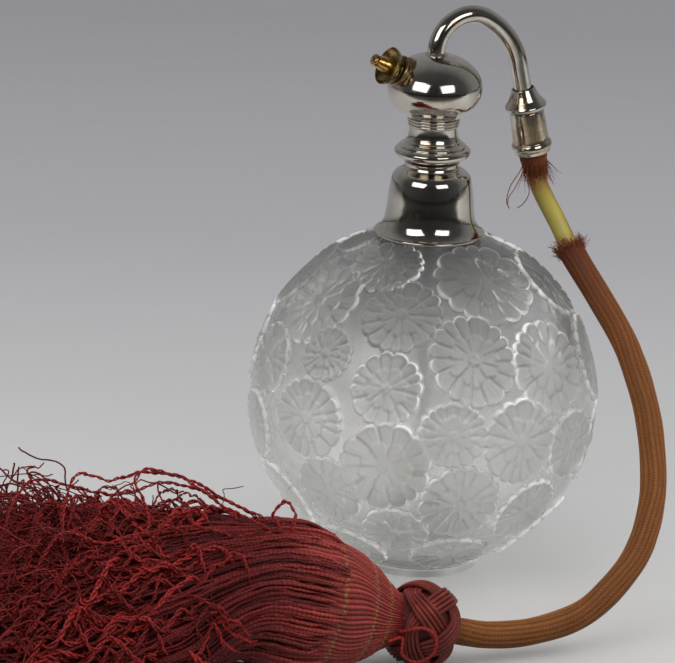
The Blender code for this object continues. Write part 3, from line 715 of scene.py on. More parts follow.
def glass_bottle():
    columns, globe_rows, inner_rows = 840, 300, 26
    low, high = math.radians(-68.6), math.radians(78.5)
    latitudes = np.linspace(low, high, globe_rows)
    turn = whole_turn(columns)
    foot = [(4, 0), (12, 0), (15.45, 0), (15.85, 0.12), (16.05, 0.5), (16.05, 1.9), (16.25, 2.3)]
    neck = [(8.75, 89.2), (8.6, 89.8), (8.6, 95), (8.6, 100), (8.3, 100.5), (6.0, 100.6)]
    neck += [(5.5, 100.1), (5.5, 95)]
    neck += [(5.5, 90.5), (5.9, 88.6)]
    cavity = np.linspace(math.radians(79), math.radians(-86), inner_rows)
    hollow = zip(CAVITY_RADIUS * np.cos(cavity), CAVITY_CENTRE_Z + CAVITY_RADIUS * np.sin(cavity))
    shape = direction(np.degrees(turn)[None, :], np.degrees(latitudes)[:, None]).reshape(-1, 3)
    height, frost, crease, lit = flower_relief(shape)
    fade = (ramp01(latitudes, low, low + 0.06) * (1 - ramp01(latitudes, high - 0.05, high)))[:, None]
    radius = GLOBE_RADIUS - CHANNEL_DEPTH * fade + height.reshape(globe_rows, columns) * fade
    across, up = np.cos(latitudes)[:, None], np.sin(latitudes)[:, None]
    globe = list(np.stack([radius * across, GLOBE_CENTRE_Z + radius * up], -1))
    rows = plain_rows(foot, columns) + globe + plain_rows(neck, columns) + plain_rows(hollow, columns)
    profile = np.stack(rows)
    radius, height = profile[..., 0], profile[..., 1]
    points = np.stack([radius * np.cos(turn), radius * np.sin(turn), height], -1) * MM
    centres = [[0, 0, 0], [0, 0, (CAVITY_CENTRE_Z - CAVITY_RADIUS) * MM]]
    points = np.vstack([points.reshape(-1, 3), centres])
    column = np.arange(columns)
    beside = (column + 1) % columns
    last = (len(rows) - 1) * columns
    middle = np.full(columns, len(rows) * columns)
    bottom = np.stack([beside, column, middle], -1)
    floor = np.stack([last + column, last + beside, middle + 1], -1)
    mesh = mesh_from_arrays("glass_globe", points, [grid_faces(len(rows), columns), bottom, floor])
    below = len(foot) * columns
    values = np.zeros((3, len(points)))
    values[:, :below] = np.array((1.0, 0.0, FOOT_EDGE))[:, None]
    shares = CHANNEL_FROST + (1 - CHANNEL_FROST) * frost * fade.repeat(columns, 1).ravel(), crease, lit
    values[:, below : below + len(shape)] = shares
    for name, value in zip(("frost", "crease", "edge"), values):
        point_values(mesh, name, value)
    piece = new_piece("glass_globe", mesh, FROSTED, "bottle", "glass_bottle")
    piece.visible_shadow = False  # clear glass lets the studio light through to the table


# ---------------------------------------------------------------- collar and spray head


def turned(name, outline, node, slot, material, body, origin=np.zeros(3), axis=UP, radius=0.25, steps=96):
    mesh = revolved(name, rounded(outline, radius), origin, np.array(axis, float), steps)
    new_piece(name, mesh, material, body, node)


def bell_collar():
    waist = [(7.05, 105.2), (7.3, 104.75), (8.1, 104.15), (9.2, 103.4), (9.95, 102.3)]
    waist += [(10.3, 101.0), (10.7, 98.4)]
    flare = [(11.0, 95.5), (11.3, 93.0), (11.7, 91.0), (12.4, 89.6), (13.2, 88.75), (13.85, 88.3)]
    outside = [tuple(p) for p in curve_through(waist + flare, 4)]
    top = [(6.3, 104.9), (6.3, 106.4), (6.75, 106.4), (6.95, 106.2), (6.95, 105.45)]
    rim = [(14.07, 88.05), (14.07, 87.7), (13.85, 87.5), (13.5, 87.6)]
    inside = [(11.5, 89.9), (10.9, 91.5), (10.15, 98.6), (9.75, 101.1), (8.8, 102.8), (6.9, 104.1)]
    outline = top + outside + rim + inside
    turned("bell_shell", outline, "bell_collar", "nickel_plate", NICKEL, "bottle", radius=0.12)


def screw_mount():
    plug = [(2.3, 101.3), (4.2, 101.3), (4.65, 101.8), (4.65, 107.4)]
    flange = [(8.5, 107.42), (9.2, 107.75), (9.62, 108.3), (9.72, 108.9), (9.6, 109.45)]
    flange += [(9.2, 109.9), (8.75, 110.1)]
    coves = [(8.45, 110.25), (8.4, 110.7), (7.95, 110.85), (7.6, 111.1), (7.15, 111.3)]
    coves += [(7.12, 111.75), (6.75, 112.0)]
    neck = [tuple(p) for p in curve_through([(6.5, 112.5), (6.3, 113.3), (6.18, 114.5), (6.2, 115.6)], 4)]
    rings = [(6.45, 115.75), (6.5, 116.0), (6.45, 116.25), (6.25, 116.35), (6.25, 116.5)]
    rings += [(6.6, 116.62), (6.65, 116.85)]
    rings += [(6.6, 117.05), (6.35, 117.15), (6.35, 117.3), (6.75, 117.42), (6.8, 117.7)]
    rings += [(6.6, 117.95), (6.3, 118.0)]
    outline = plug + flange + coves + neck + rings + [(4.65, 118.0), (4.65, 119.6), (2.3, 119.6)]
    turned("stepped_mount", outline, "screw_mount", "nickel_plate", NICKEL, "head", radius=0.14)


def head_ball():
    wide, tall, wall, middle = 12.05, 8.9, 1.15, 125.4
    outline = []
    for first, last, count, inward in ((-55.9, 77.3, 44, 0), (75.9, -62.4, 24, wall)):
        for angle in np.radians(np.linspace(first, last, count)):
            outline.append(((wide - inward) * math.cos(angle), middle + (tall - inward) * math.sin(angle)))
    turned("hollow_ball", outline, "head_ball", "nickel_plate", NICKEL, "head", radius=0.05, steps=128)


def nozzle_pieces():
    base = [(1.55, 8.4), (4.35, 8.4), (4.35, 9.9), (4.1, 10.1), (3.75, 10.25), (3.75, 10.9)]
    base += [(4.05, 11.1), (4.15, 11.5)]
    base += [(4.05, 11.9), (3.7, 12.1), (2.9, 12.2), (2.9, 12.5), (1.55, 12.5)]
    turned("nozzle_socket", base, "nozzle_base", "brass", DARK_BRASS, "head", BALL_CENTRE, NOZZLE_AXIS, 0.15)
    cup = [(2.05, 12.8), (2.9, 12.85), (3.6, 13.1), (4.3, 13.7), (4.75, 14.4), (4.95, 15.1)]
    cup += [(4.95, 15.3), (4.75, 15.3)]
    cup += [(4.55, 14.8), (4.1, 14.15), (3.45, 13.65), (2.7, 13.35), (2.05, 13.35)]
    turned("nozzle_bowl", cup, "nozzle_cup", "brass", BOWL_GILT, "head", BALL_CENTRE, NOZZLE_AXIS, 0.12)
    tip = [(1.1, 12.85), (1.7, 12.85), (1.7, 13.6), (2.3, 13.8), (2.4, 14.4), (2.15, 15.6)]
    tip += [(1.75, 17.3), (1.4, 18.5)]
    tip += [(1.55, 18.8), (1.6, 19.15), (1.4, 19.5), (1.0, 19.65), (0.5, 19.55), (0.4, 18.6), (1.0, 16.4)]
    turned("spray_tip", tip, "nozzle_tip", "brass", GILT, "nozzle", BALL_CENTRE, NOZZLE_AXIS, 0.12, steps=64)


def tube_between(name, path, radius_mm, bore_mm, sides):
    """The mesh of a hollow tube along a path in metres."""
    side, other = path_frames(path)
    across = MM * swept(whole_turn(sides), side[:, None], other[:, None])
    outer, inner = path[:, None] + radius_mm * across, path[:, None] + bore_mm * across
    mesh = ring_skin(name, np.concatenate([outer, inner[::-1]]))
    mesh.set_sharp_from_angle(angle=math.radians(50))
    return mesh


def arc(centre, radius, turns):
    """Points of an arc in the plane of x and z, at these angles in radians."""
    return [centre + radius * np.array((math.cos(turn), 0, math.sin(turn))) for turn in turns]


def gooseneck_path():
    first, second = 9.3, 20.0  # radii of the crook and of the gentler bend after it
    path = [np.array((0, 0, z)) for z in (131.2, 132.8, 134.4)]
    path += arc(path[-1] + np.array((first, 0, 0)), first, np.radians(np.arange(176, 59, -4)))
    start, tilt = math.radians(60), math.radians(12)
    centre = path[-1] - second * np.array((math.cos(start), 0, math.sin(start)))
    path += arc(centre, second, np.linspace(start, tilt, 17)[1:])
    end = FERRULE_TOP / MM + 4.9 * FERRULE_DOWN
    path += [path[-1] + (end - path[-1]) * share for share in (0.33, 0.67, 1.0)]
    return np.array(path) * MM


def gooseneck():
    mesh = tube_between("gooseneck", gooseneck_path(), 2.3, 1.5, 48)
    new_piece("gooseneck", mesh, GOOSENECK_NICKEL, "head", "gooseneck_tube")
    seat = [(2.35, 133.6), (2.35, 134.55), (2.55, 134.5), (2.85, 134.25), (3.15, 134.05)]
    seat += [(3.2, 133.75), (3.0, 133.5)]
    turned("gooseneck_seat", seat, None, "nickel_plate", NICKEL, "head", radius=0.08, steps=64)


def ferrule_pieces():
    looks = ("nickel_plate", FERRULE_NICKEL)
    place = {"origin": FERRULE_TOP, "axis": FERRULE_DOWN}
    cap = [(2.65, -0.1), (2.95, -0.1), (3.1, 0.4), (3.5, 1.5), (4.2, 2.9), (4.95, 3.9)]
    cap += [(5.3, 4.4), (5.35, 4.8)]
    cap += [(5.2, 5.2), (4.9, 5.45), (2.65, 5.5)]
    turned("ferrule_shoulder", cap, "ferrule_cap", *looks, "head", radius=0.15, **place)
    barrel = [(2.2, 5.85), (4.3, 5.85), (4.4, 6.2), (4.5, 9.0), (4.6, 13.4), (4.65, 14.2)]
    barrel += [(4.95, 14.5), (5.15, 15.0)]
    barrel += [(5.2, 15.5), (5.05, 16.0), (4.75, 16.3), (4.7, 16.8), (4.65, 17.2), (4.15, 17.2), (4.15, 7.3)]
    barrel += [(2.2, 7.3)]
    turned("ferrule_barrel", barrel, "hose_ferrule", *looks, "ferrule", radius=0.14, **place)


# ---------------------------------------------------------------- hose, braid and frayed ends


def hose_centreline(spacing_mm):
    ends = [HOSE_PIVOT / MM, HOSE_PIVOT / MM + 3 * FERRULE_DOWN]
    path = curve_through(ends + [np.array(p) for p in HOSE_BENDS] + [KNOT / MM], 24)
    return resampled(path, spacing_mm)


def capped_skin(name, path, radii):
    """A tube closed at both ends, and its directions: path (M, 3) in mm, radii (M, columns) in mm."""
    side, other = path_frames(path)
    rows, columns = radii.shape
    across = swept(whole_turn(columns), side[:, None], other[:, None])
    points = np.vstack([(path[:, None] + radii[..., None] * across).reshape(-1, 3), path[0], path[-1]])
    column = np.arange(columns)
    beside, last = (column + 1) % columns, (rows - 1) * columns
    middle = np.full(columns, rows * columns)
    ends = [np.stack([beside, column, middle], -1), np.stack([last + column, last + beside, middle + 1], -1)]
    return mesh_from_arrays(name, points * MM, [grid_faces(rows, columns)] + ends), side, other


SLEEVE_START = 25.5  # mm down the hose from its pivot
KNOT_BEND_RANGE = (-5.0, 1.0)  # mm past the start of the knot, from which two points on the tassel's axis are worked out
LINING_RADIUS = 2.62
SLEEVE_INTO_KNOT = 5.0  # mm by which the sleeve runs on into the knot's bore


def rubber_hose():
    path, along = hose_centreline(0.8)
    shown = along < SLEEVE_START + 12
    path, along = path[shown], along[shown]
    columns = 40
    turn = whole_turn(columns)
    radii = HOSE_RADIUS * (1 + 0.012 * np.sin(along[:, None] / 2.1 + np.sin(turn) * 2))
    radii[0], radii[1] = 0.6 * HOSE_RADIUS, 0.9 * HOSE_RADIUS
    mesh, side, other = capped_skin("rubber_tube", path, radii)
    # facing_camera runs from 0.5 on the side toward the camera to 0 behind; the rubber's painted highlight
    # and shade follow it.
    camera_side = np.array((-0.45, -0.89, 0.0))
    toward = np.arctan2(other @ camera_side, side @ camera_side)[:, None]
    ends = 1 - ramp01(along, 2.0, 12.0) + ramp01(along, SLEEVE_START - 5.5, SLEEVE_START + 0.5)
    caps = [0, 0]
    point_values(mesh, "facing_camera", np.append(0.25 + 0.25 * np.cos(turn - toward), caps))
    point_values(mesh, "ends", np.append(np.repeat(ends, columns), caps))
    piece = new_piece("rubber_tube", mesh, RUBBER, None, "rubber_hose")
    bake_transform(piece)


def braided_sleeve():
    spacing = 0.2
    path, along = hose_centreline(spacing)
    inside_knot = np.arange(spacing, SLEEVE_INTO_KNOT, spacing)[:, None]
    path = np.vstack([path, KNOT / MM + inside_knot * TASSEL_AXIS])
    along = np.append(along, along[-1] + inside_knot)
    shown = along > SLEEVE_START
    path, along = path[shown], along[shown] - SLEEVE_START
    ribs, columns = 16, 96
    turn = np.arange(columns)[None] / columns
    twist = 0.020 * np.sin(along / 9.0) + 0.010 * np.sin(along / 3.7 + 1)
    rib_place = (turn + twist[:, None]) * ribs
    rib = np.floor(rib_place).astype(int) % ribs
    within = rib_place - np.floor(rib_place)
    slant = np.where(rib % 2 == 0, within, 1 - within)
    thread = 0.5 + 0.5 * np.cos(math.tau * (along[:, None] / 0.82 + slant * 0.95))
    rib_shape = np.sin(math.pi * within) ** 0.6
    sag = 0.05 * np.sin(along / 2.3)[:, None] * np.cos(rib * 2.4)
    radii = SLEEVE_RADIUS - 0.16 + 0.16 * rib_shape * (1 + 0.2 * np.cos(rib * 1.7))
    radii = radii + 0.085 * thread * rib_shape + sag
    opened = np.exp(-along / 1.6)[:, None]
    radii = radii + opened * (0.35 + 0.25 * np.cos(math.tau * turn * 2 + 0.5))
    side, other = path_frames(path)
    across = swept(math.tau * turn[0], side[:, None], other[:, None])
    outer = path[:, None] + radii[..., None] * across
    middle = (path[:, None] + LINING_RADIUS * across)[::40]
    end = path[-1:, None] + LINING_RADIUS * across[-1:]
    lip = path[:1, None] + (radii[:1, :, None] - 0.5) * across[:1]
    lining = np.concatenate([end, middle[::-1], lip])
    mesh = ring_skin("braided_sleeve_skin", MM * np.concatenate([outer, lining]))
    # Painted shade: darker where the weave's surface dips, and the lining inside the sleeve is painted fully
    # dark with a darker tint.
    hollow_shade = np.clip(1 - rib_shape * (0.35 + 0.65 * thread), 0, 1) ** 1.5
    scorch = (0.85 * np.exp(-along / 10.0) + 0.35 * np.exp(-along / 45.0))[:, None].repeat(columns, 1)
    looks = (("hollow_shade", hollow_shade, 1.0), ("tint", 0.5 + 0.22 * np.sin(rib * 2.6), 0.3), ("burnt", scorch, 0.0))
    for name, outside, inside in looks:
        point_values(mesh, name, np.append(outside, np.full(len(lining) * columns, inside)))
    piece = new_piece("braided_sleeve_skin", mesh, BRAID, None, "braided_sleeve")
    start, end = (tuple(KNOT + past * MM * TASSEL_AXIS) for past in KNOT_BEND_RANGE)
    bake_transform(piece)
    frayed_end(path, side, other)


def tufts(name, rng, roots, outward, forward, lengths, spread, radius_mm, body, slot, wave=0.35):
    """Loose fibres from root points (N, 3) in mm, each leaving along forward and bending outward."""
    count, steps = len(roots), 14
    t = np.linspace(0, 1, steps)[None, :, None]
    reach = lengths[:, None, None]
    jitter = rng.normal(0, 0.25, (count, 1, 3))
    lean = unit(forward + spread[:, None, None] * outward[:, None] * (0.3 + t) + jitter)
    paths = roots[:, None] + np.cumsum(lean * reach / steps, axis=1)
    for k in range(3):
        paths[:, :, k] += wave * wander(rng, count, steps, 1.3) * t[..., 0] * (0.3 + lengths[:, None] / 8)
    paths[:, 0] = roots
    radii = radius_mm * MM * (1 - 0.6 * t[..., 0]) * rng.uniform(0.7, 1.3, (count, 1))
    mesh = strand_mesh(name, paths * MM, radii, 3, values=rng.random(count))
    new_piece(name, mesh, FRAYED, body)


def frayed_end(path, side, other):
    rng = np.random.default_rng(11)
    count = 260
    turn = rng.random(count) * math.tau
    outward = swept(turn, side[0], other[0])
    back = unit(path[0] - path[3])
    roots = path[5] + outward * rng.uniform(2.9, 3.5, (count, 1))
    tall = 0.5 + 0.5 * np.cos(2 * turn + 0.4)
    lengths = rng.uniform(1.5, 3.4, count) + 2.4 * tall
    spread = rng.uniform(0.05, 0.5, count)
    tufts("sleeve_fray", rng, roots, outward, back, lengths, spread, 0.11, "hose", "golden_braid")


def braid_stump():
    path, along = hose_centreline(0.5)
    above = np.arange(-4.0, 0, 0.5)[:, None]
    path, along = np.vstack([HOSE_PIVOT / MM + above * FERRULE_DOWN, path]), np.append(above, along)
    side, other = (directions[0] for directions in path_frames(path))
    steps, columns, top = 30, 56, -3.6
    turn = whole_turn(columns)
    edge = 2.0 + 1.0 * np.sin(2 * turn + 1) + 0.7 * np.sin(5 * turn) + 0.5 * np.sin(11 * turn + 2)
    t = np.linspace(0, 1, steps)[:, None]
    place = top + t * (edge - top)
    centre = np.stack([np.interp(place, along, path[:, k]) for k in range(3)], -1)
    across = swept(turn, side, other)
    wrinkle = 0.10 * np.sin(14 * turn + 3 * t) + 0.07 * np.sin(31 * turn + 5 * t)
    radii = np.minimum(3.6, 3.7 - 1.05 * ramp01(place, -2.5, 2.5) + wrinkle * (0.3 + t))
    outer = centre + radii[..., None] * across
    inner = (centre + 2.44 * across)[[-1, 0]]
    points = np.concatenate([outer, inner])
    mesh = ring_skin("stump_cuff", MM * points)
    point_values(mesh, "tint", np.full(len(points) * columns, 0.6))
    new_piece("stump_cuff", mesh, FRAYED, "hose_swivel", "braid_stump")
    rng = np.random.default_rng(12)
    count = 300
    outward = swept(rng.random(count) * math.tau, side, other)
    roots = HOSE_PIVOT / MM - 1.0 * FERRULE_DOWN + outward * rng.uniform(2.6, 3.3, (count, 1))
    roots = roots + 2.5 * rng.random((count, 1)) * FERRULE_DOWN
    lengths = rng.uniform(2.5, 6.5, count)
    stray = rng.random(count) < 0.14
    spread = np.where(stray, rng.uniform(0.1, 0.4, count), rng.uniform(-0.30, -0.08, count))
    looks = (0.08, "hose_swivel", "frayed_braid", 0.25)
    tufts("stump_fray", rng, roots, outward, FERRULE_DOWN, lengths, spread, *looks)
    loose_loops()


def loose_loops():
    """Three long threads that hang from the ferrule in loops on its nozzle side."""
    start = FERRULE_TOP / MM + 18.0 * FERRULE_DOWN
    loops = (
        ((-3.0, -1.2, 0), (-4.6, -2.4, -3.2), (-8.2, -4.2, -6.6), (-9.6, -5.0, -10.2), (-8.6, -4.8, -12.4)),
        ((-2.9, -1.6, 0), (-4.2, -2.8, -3.6), (-7.0, -4.4, -7.2), (-9.2, -5.4, -9.2), (-9.5, -5.6, -11.0)),
        ((-2.6, -1.8, -0.5), (-2.9, -3, -5), (-2.6, -3.8, -9), (-4.3, -4.2, -11.6), (-6.2, -4.5, -12.6)),
    )
    paths = [curve_through([start + np.array(p) for p in loop], 8) for loop in loops]
    mesh = strand_mesh("stump_threads", np.array(paths) * MM, 0.12 * MM, 4, values=np.array((0.1, 0.3, 0.2)))
    new_piece("stump_threads", mesh, FRAYED, "hose_swivel")


# ---------------------------------------------------------------- tassel: knot, net and bulb

TASSEL_SIDE = unit(np.cross(UP, TASSEL_AXIS))
TASSEL_TOP = np.cross(TASSEL_AXIS, TASSEL_SIDE)


def about_tassel(radius, along, turn):
    """Points in metres at this radius and distance along the tassel's axis, in mm. Turn 0 is the top."""
    across = swept(turn, TASSEL_TOP, TASSEL_SIDE)
    return KNOT + MM * (along[..., None] * TASSEL_AXIS + radius[..., None] * across)


KNOT_MIDDLE = 8.7  # mm along the tassel's axis
KNOT_RADIUS = 10.2
CORD_SPACING = 1.12
CORD_HALF_WIDTH, CORD_HALF_DEPTH = 0.60, 0.53
CORD_TINTS = (0.3, 0.6, 0.45, 0.7, 0.35)


def knot_radius(along):
    return KNOT_RADIUS * np.sqrt(np.clip(1 - ((along - KNOT_MIDDLE) / KNOT_RADIUS) ** 2, 0.04, 1))


def knot_levels(leads, bights, count):
    """Even steps along the band, and its level at each: 1 where it crosses over itself, -1 under."""
    crossings = set()
    for n in range(2 * bights):
        for k in range(1, leads):
            for sign in (1, -1):
                crossings.add(round(((n / bights + sign * k / leads) / 2) % 1, 6))
    crossings = sorted(crossings)
    marks = np.array([crossings[-1] - 1] + crossings + [crossings[0] + 1])
    levels = np.array([(-1) ** i for i in range(-1, len(crossings) + 1)], float)
    t = np.linspace(0, 1, count, endpoint=False)
    slot = np.clip(np.searchsorted(marks, t, side="right") - 1, 0, len(marks) - 2)
    share = (t - marks[slot]) / (marks[slot + 1] - marks[slot])
    share = 0.5 - 0.5 * np.cos(math.pi * share)
    return t, levels[slot] * (1 - share) + levels[slot + 1] * share


def tassel_knot():
    """A woven ball: one band of five cords that goes round three times with five scallops at each end."""
    leads, bights, cords, sides, half_length = 3, 5, len(CORD_TINTS), 8, 8.3
    t, level = knot_levels(leads, bights, 620)
    turn = math.tau * leads * t + 0.35
    along = KNOT_MIDDLE + 6.6 * np.cos(math.tau * bights * t)
    slope_turn = np.gradient(np.unwrap(turn)) * knot_radius(along)
    slope_along = np.gradient(along)
    length = np.hypot(slope_turn, slope_along)
    paths = []
    for cord in range(cords):
        offset = (cord - (cords - 1) / 2) * CORD_SPACING
        along_cord = along + offset * slope_turn / length
        turn_cord = turn - offset * slope_along / length / knot_radius(along)
        along_cord = KNOT_MIDDLE + half_length * np.tanh((along_cord - KNOT_MIDDLE) / half_length * 1.05)
        radius = knot_radius(along_cord) - 0.55 + 0.62 * level
        paths.append(about_tassel(radius, along_cord, turn_cord))
    paths = np.array(paths)
    tangent = unit(np.roll(paths, -1, 1) - np.roll(paths, 1, 1))
    outward = unit(paths - (KNOT + KNOT_MIDDLE * MM * TASSEL_AXIS))
    first = unit(outward - (outward * tangent).sum(-1, keepdims=True) * tangent)[:, :, None]
    second = np.cross(tangent, first[:, :, 0])[:, :, None]
    ring = swept(whole_turn(sides), CORD_HALF_WIDTH * first, CORD_HALF_DEPTH * second)
    points = (paths[:, :, None] + MM * ring).reshape(-1, 3)
    points[:, 2] = np.maximum(points[:, 2], 0.1 * MM)  # the cords lie flat where the ball rests on the table
    quads = grid_faces(len(t), sides, looped=True)[None] + (np.arange(cords) * len(t) * sides)[:, None, None]
    mesh = mesh_from_arrays("knot_cords", points, [quads.reshape(-1, 4)])
    point_values(mesh, "tint", np.repeat(CORD_TINTS, len(t) * sides))
    new_piece("knot_cords", mesh, KNOT_SILK, "tassel", "tassel_knot")
    core = [(4.3, 1.5), (6.3, 1.9), (7.9, 4.0), (8.75, 8.5), (7.9, 13.0), (6.6, 15.6)]
    core += [(6.0, 16.6), (4.3, 16.6)]
    mesh = revolved("knot_core", rounded(core, 1.0), KNOT, TASSEL_AXIS, 48)
    # Painted shade: the core takes the darkest strand tone, so the gaps between the cords look shaded.
    point_values(mesh, "tint", np.zeros(len(mesh.vertices)))
    new_piece("knot_core", mesh, KNOT_SILK, "tassel")


NET_OUTLINE = (  # (radius, distance along the tassel) in mm
    (6.6, 15.6), (7.6, 17.6), (10.6, 21.5), (14.6, 28), (17.4, 36), (18.2, 44), (17.3, 52), (15.2, 58.5),
)
GOLD_RINGS = ((20.0, 0.8), (25.5, 0.5), (35.5, 0.4))  # distance along the tassel, and lean, in mm


def bulb_net():
    ribs, columns = 84, 504
    outline, _ = resampled(curve_through(NET_OUTLINE, 12), 0.3)
    turn = whole_turn(columns)[None]
    radius, along = outline[:, :1], outline[:, 1:]
    rib_place = turn / math.tau * ribs + 0.35 * np.sin(along / 2.7 + 3 * turn) * ramp01(along, 17, 24)
    rib_index = np.floor(rib_place).astype(int) % ribs
    across_rib = rib_place - np.floor(rib_place)
    within = np.sin(math.pi * across_rib) ** 0.7
    ply = 0.5 + 0.5 * np.cos(math.tau * (along / 1.5 + 0.8 * across_rib + 0.37 * rib_index))
    swell = 0.40 * np.sin(3 * turn + along / 7) + 0.25 * np.sin(7 * turn - along / 5)
    gold, pinch = np.zeros_like(within), np.zeros_like(within)
    for ring_at, lean in GOLD_RINGS:
        away = along - ring_at - lean * np.sin(turn + 0.6) - 0.25 * np.where(rib_index % 2 == 0, 1, -1)
        gold = np.maximum(gold, np.exp(-((away / 0.34) ** 2)))
        pinch = np.maximum(pinch, np.exp(-((away / 1.1) ** 2)))
    radii = radius - 0.85 + 0.62 * within * (1 - 0.35 * pinch) + 0.10 * ply * within
    radii = radii + swell * ramp01(along, 20, 34) + 0.26 * gold * within - 0.22 * pinch
    lining = outline[::-8]
    inner = about_tassel(lining[:, :1] - 1.35, lining[:, 1:], turn)
    mesh = ring_skin("ribbed_net", np.concatenate([about_tassel(radii, along, turn), inner]))
    # Painted shade: darker between the ribs, and the lining inside the net is painted fully dark with the
    # darkest tint.
    hollows = np.clip(1 - within * (0.75 + 0.25 * ply), 0, 1) ** 1.2
    tint = 0.5 + 0.4 * np.sin(rib_index * 2.1)
    looks = (("hollow_shade", hollows, 1), ("tint", tint, 0), ("gold", gold * within, 0))
    for name, outside, inside in looks:
        point_values(mesh, name, np.append(outside, np.full(len(inner) * columns, inside)))
    piece = new_piece("ribbed_net", mesh, NET_SILK, "bulb", "bulb_net")
    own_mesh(piece)


def squeeze_bulb():
    skin = [(r - 1.5, s) for r, s in NET_OUTLINE[2:]]
    outside = [(4.6, 12.6), (4.6, 16.6), (6.0, 18.2)] + skin
    outside += [(10.6, 63.0), (6.2, 65.6), (4.4, 66.6), (4.4, 68.5)]
    inside = [(3.2, 68.5), (3.2, 66.0), (5.4, 64.2), (9.4, 61.4)] + [(r - 1.6, s) for r, s in skin[::-1]]
    inside += [(4.2, 18.9), (3.15, 17.2), (3.15, 12.6)]
    mesh = revolved("bulb_skin", rounded(outside + inside, 1.2, 4), KNOT, TASSEL_AXIS, 64)
    piece = new_piece("bulb_skin", mesh, BULB_RUBBER, "bulb", "rubber_bulb")
    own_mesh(piece)


# ---------------------------------------------------------------- tassel: fringe

FRINGE_STATIONS = np.array((  # distance from the fringe's start, half width, height above the table
    (-6, 17.5, 36.5), (0, 20.0, 38.0), (14, 26.0, 38.5), (32, 37.0, 37.5),
    (50, 47.0, 34.5), (62, 48.0, 29.5), (71, 41.0, 22.0), (76, 30.0, 14.0),
))
FRINGE_START = (KNOT / MM + 53 * TASSEL_AXIS) * np.array((1, 1, 0))
FRINGE_END = 73  # mm along the fringe where the longest strands end
FRINGE_AHEAD = np.array((math.cos(FRINGE_HEADING), math.sin(FRINGE_HEADING), 0))
FRINGE_ACROSS = np.array((-math.sin(FRINGE_HEADING), math.cos(FRINGE_HEADING), 0))


def fringe_point(far, turn, depth):
    """A point inside the fringe in mm: far along it, at this angle and share of its section's size."""
    half, top = (np.interp(far, FRINGE_STATIONS[:, 0], FRINGE_STATIONS[:, k]) for k in (1, 2))
    wide = np.sign(np.cos(turn)) * np.abs(np.cos(turn)) ** 0.75
    rise = np.where(np.sin(turn) > 0, 0.32 + 0.68 * np.sin(turn), 0.32 * (1 + np.sin(turn)))
    middle = 0.36  # height of the section's middle, against its top
    height = TABLE_GAP + 0.3 + (top - TABLE_GAP) * (middle + (rise - middle) * depth)
    spread = far[..., None] * FRINGE_AHEAD + (half * wide * depth)[..., None] * FRINGE_ACROSS
    return FRINGE_START + spread + height[..., None] * UP


SPREAD_BEYOND_CAD = 8.5  # mm by which loose strands may reach past the CAD's box
SPREAD_EASE = 4.0
LOWEST_STRAND = TABLE_GAP + 0.9


def net_surface_point(along, turn, lift):
    """A point in mm over the net, at an angle of the fringe's section: 0 is its near side."""
    outline = np.array(NET_OUTLINE)
    radius = np.interp(along, outline[:, 1], outline[:, 0]) + lift
    across = swept(turn, TASSEL_SIDE, TASSEL_TOP)
    return KNOT / MM + along[..., None] * TASSEL_AXIS + radius[..., None] * across


def held_inside(paths):
    """Paths in mm, eased back where they would wander out of the space round the CAD's tassel."""
    for axis in (0, 1):
        limit = cad_low[axis] / MM - SPREAD_BEYOND_CAD
        short = np.maximum(limit + SPREAD_EASE - paths[..., axis], 0)
        eased = limit + SPREAD_EASE * np.exp(-short / SPREAD_EASE)
        paths[..., axis] = np.where(short > 0, eased, paths[..., axis])
    paths[..., 2] = np.maximum(paths[..., 2], LOWEST_STRAND)
    return paths


LEAVES_NET = 54  # mm along the tassel from which a strand's distance along the fringe counts
HELD_BY_NET = 62  # mm along the tassel up to which the strands follow the net's outline
LOWEST_TURN, HIGHEST_TURN = -0.32 * math.pi, 1.32 * math.pi


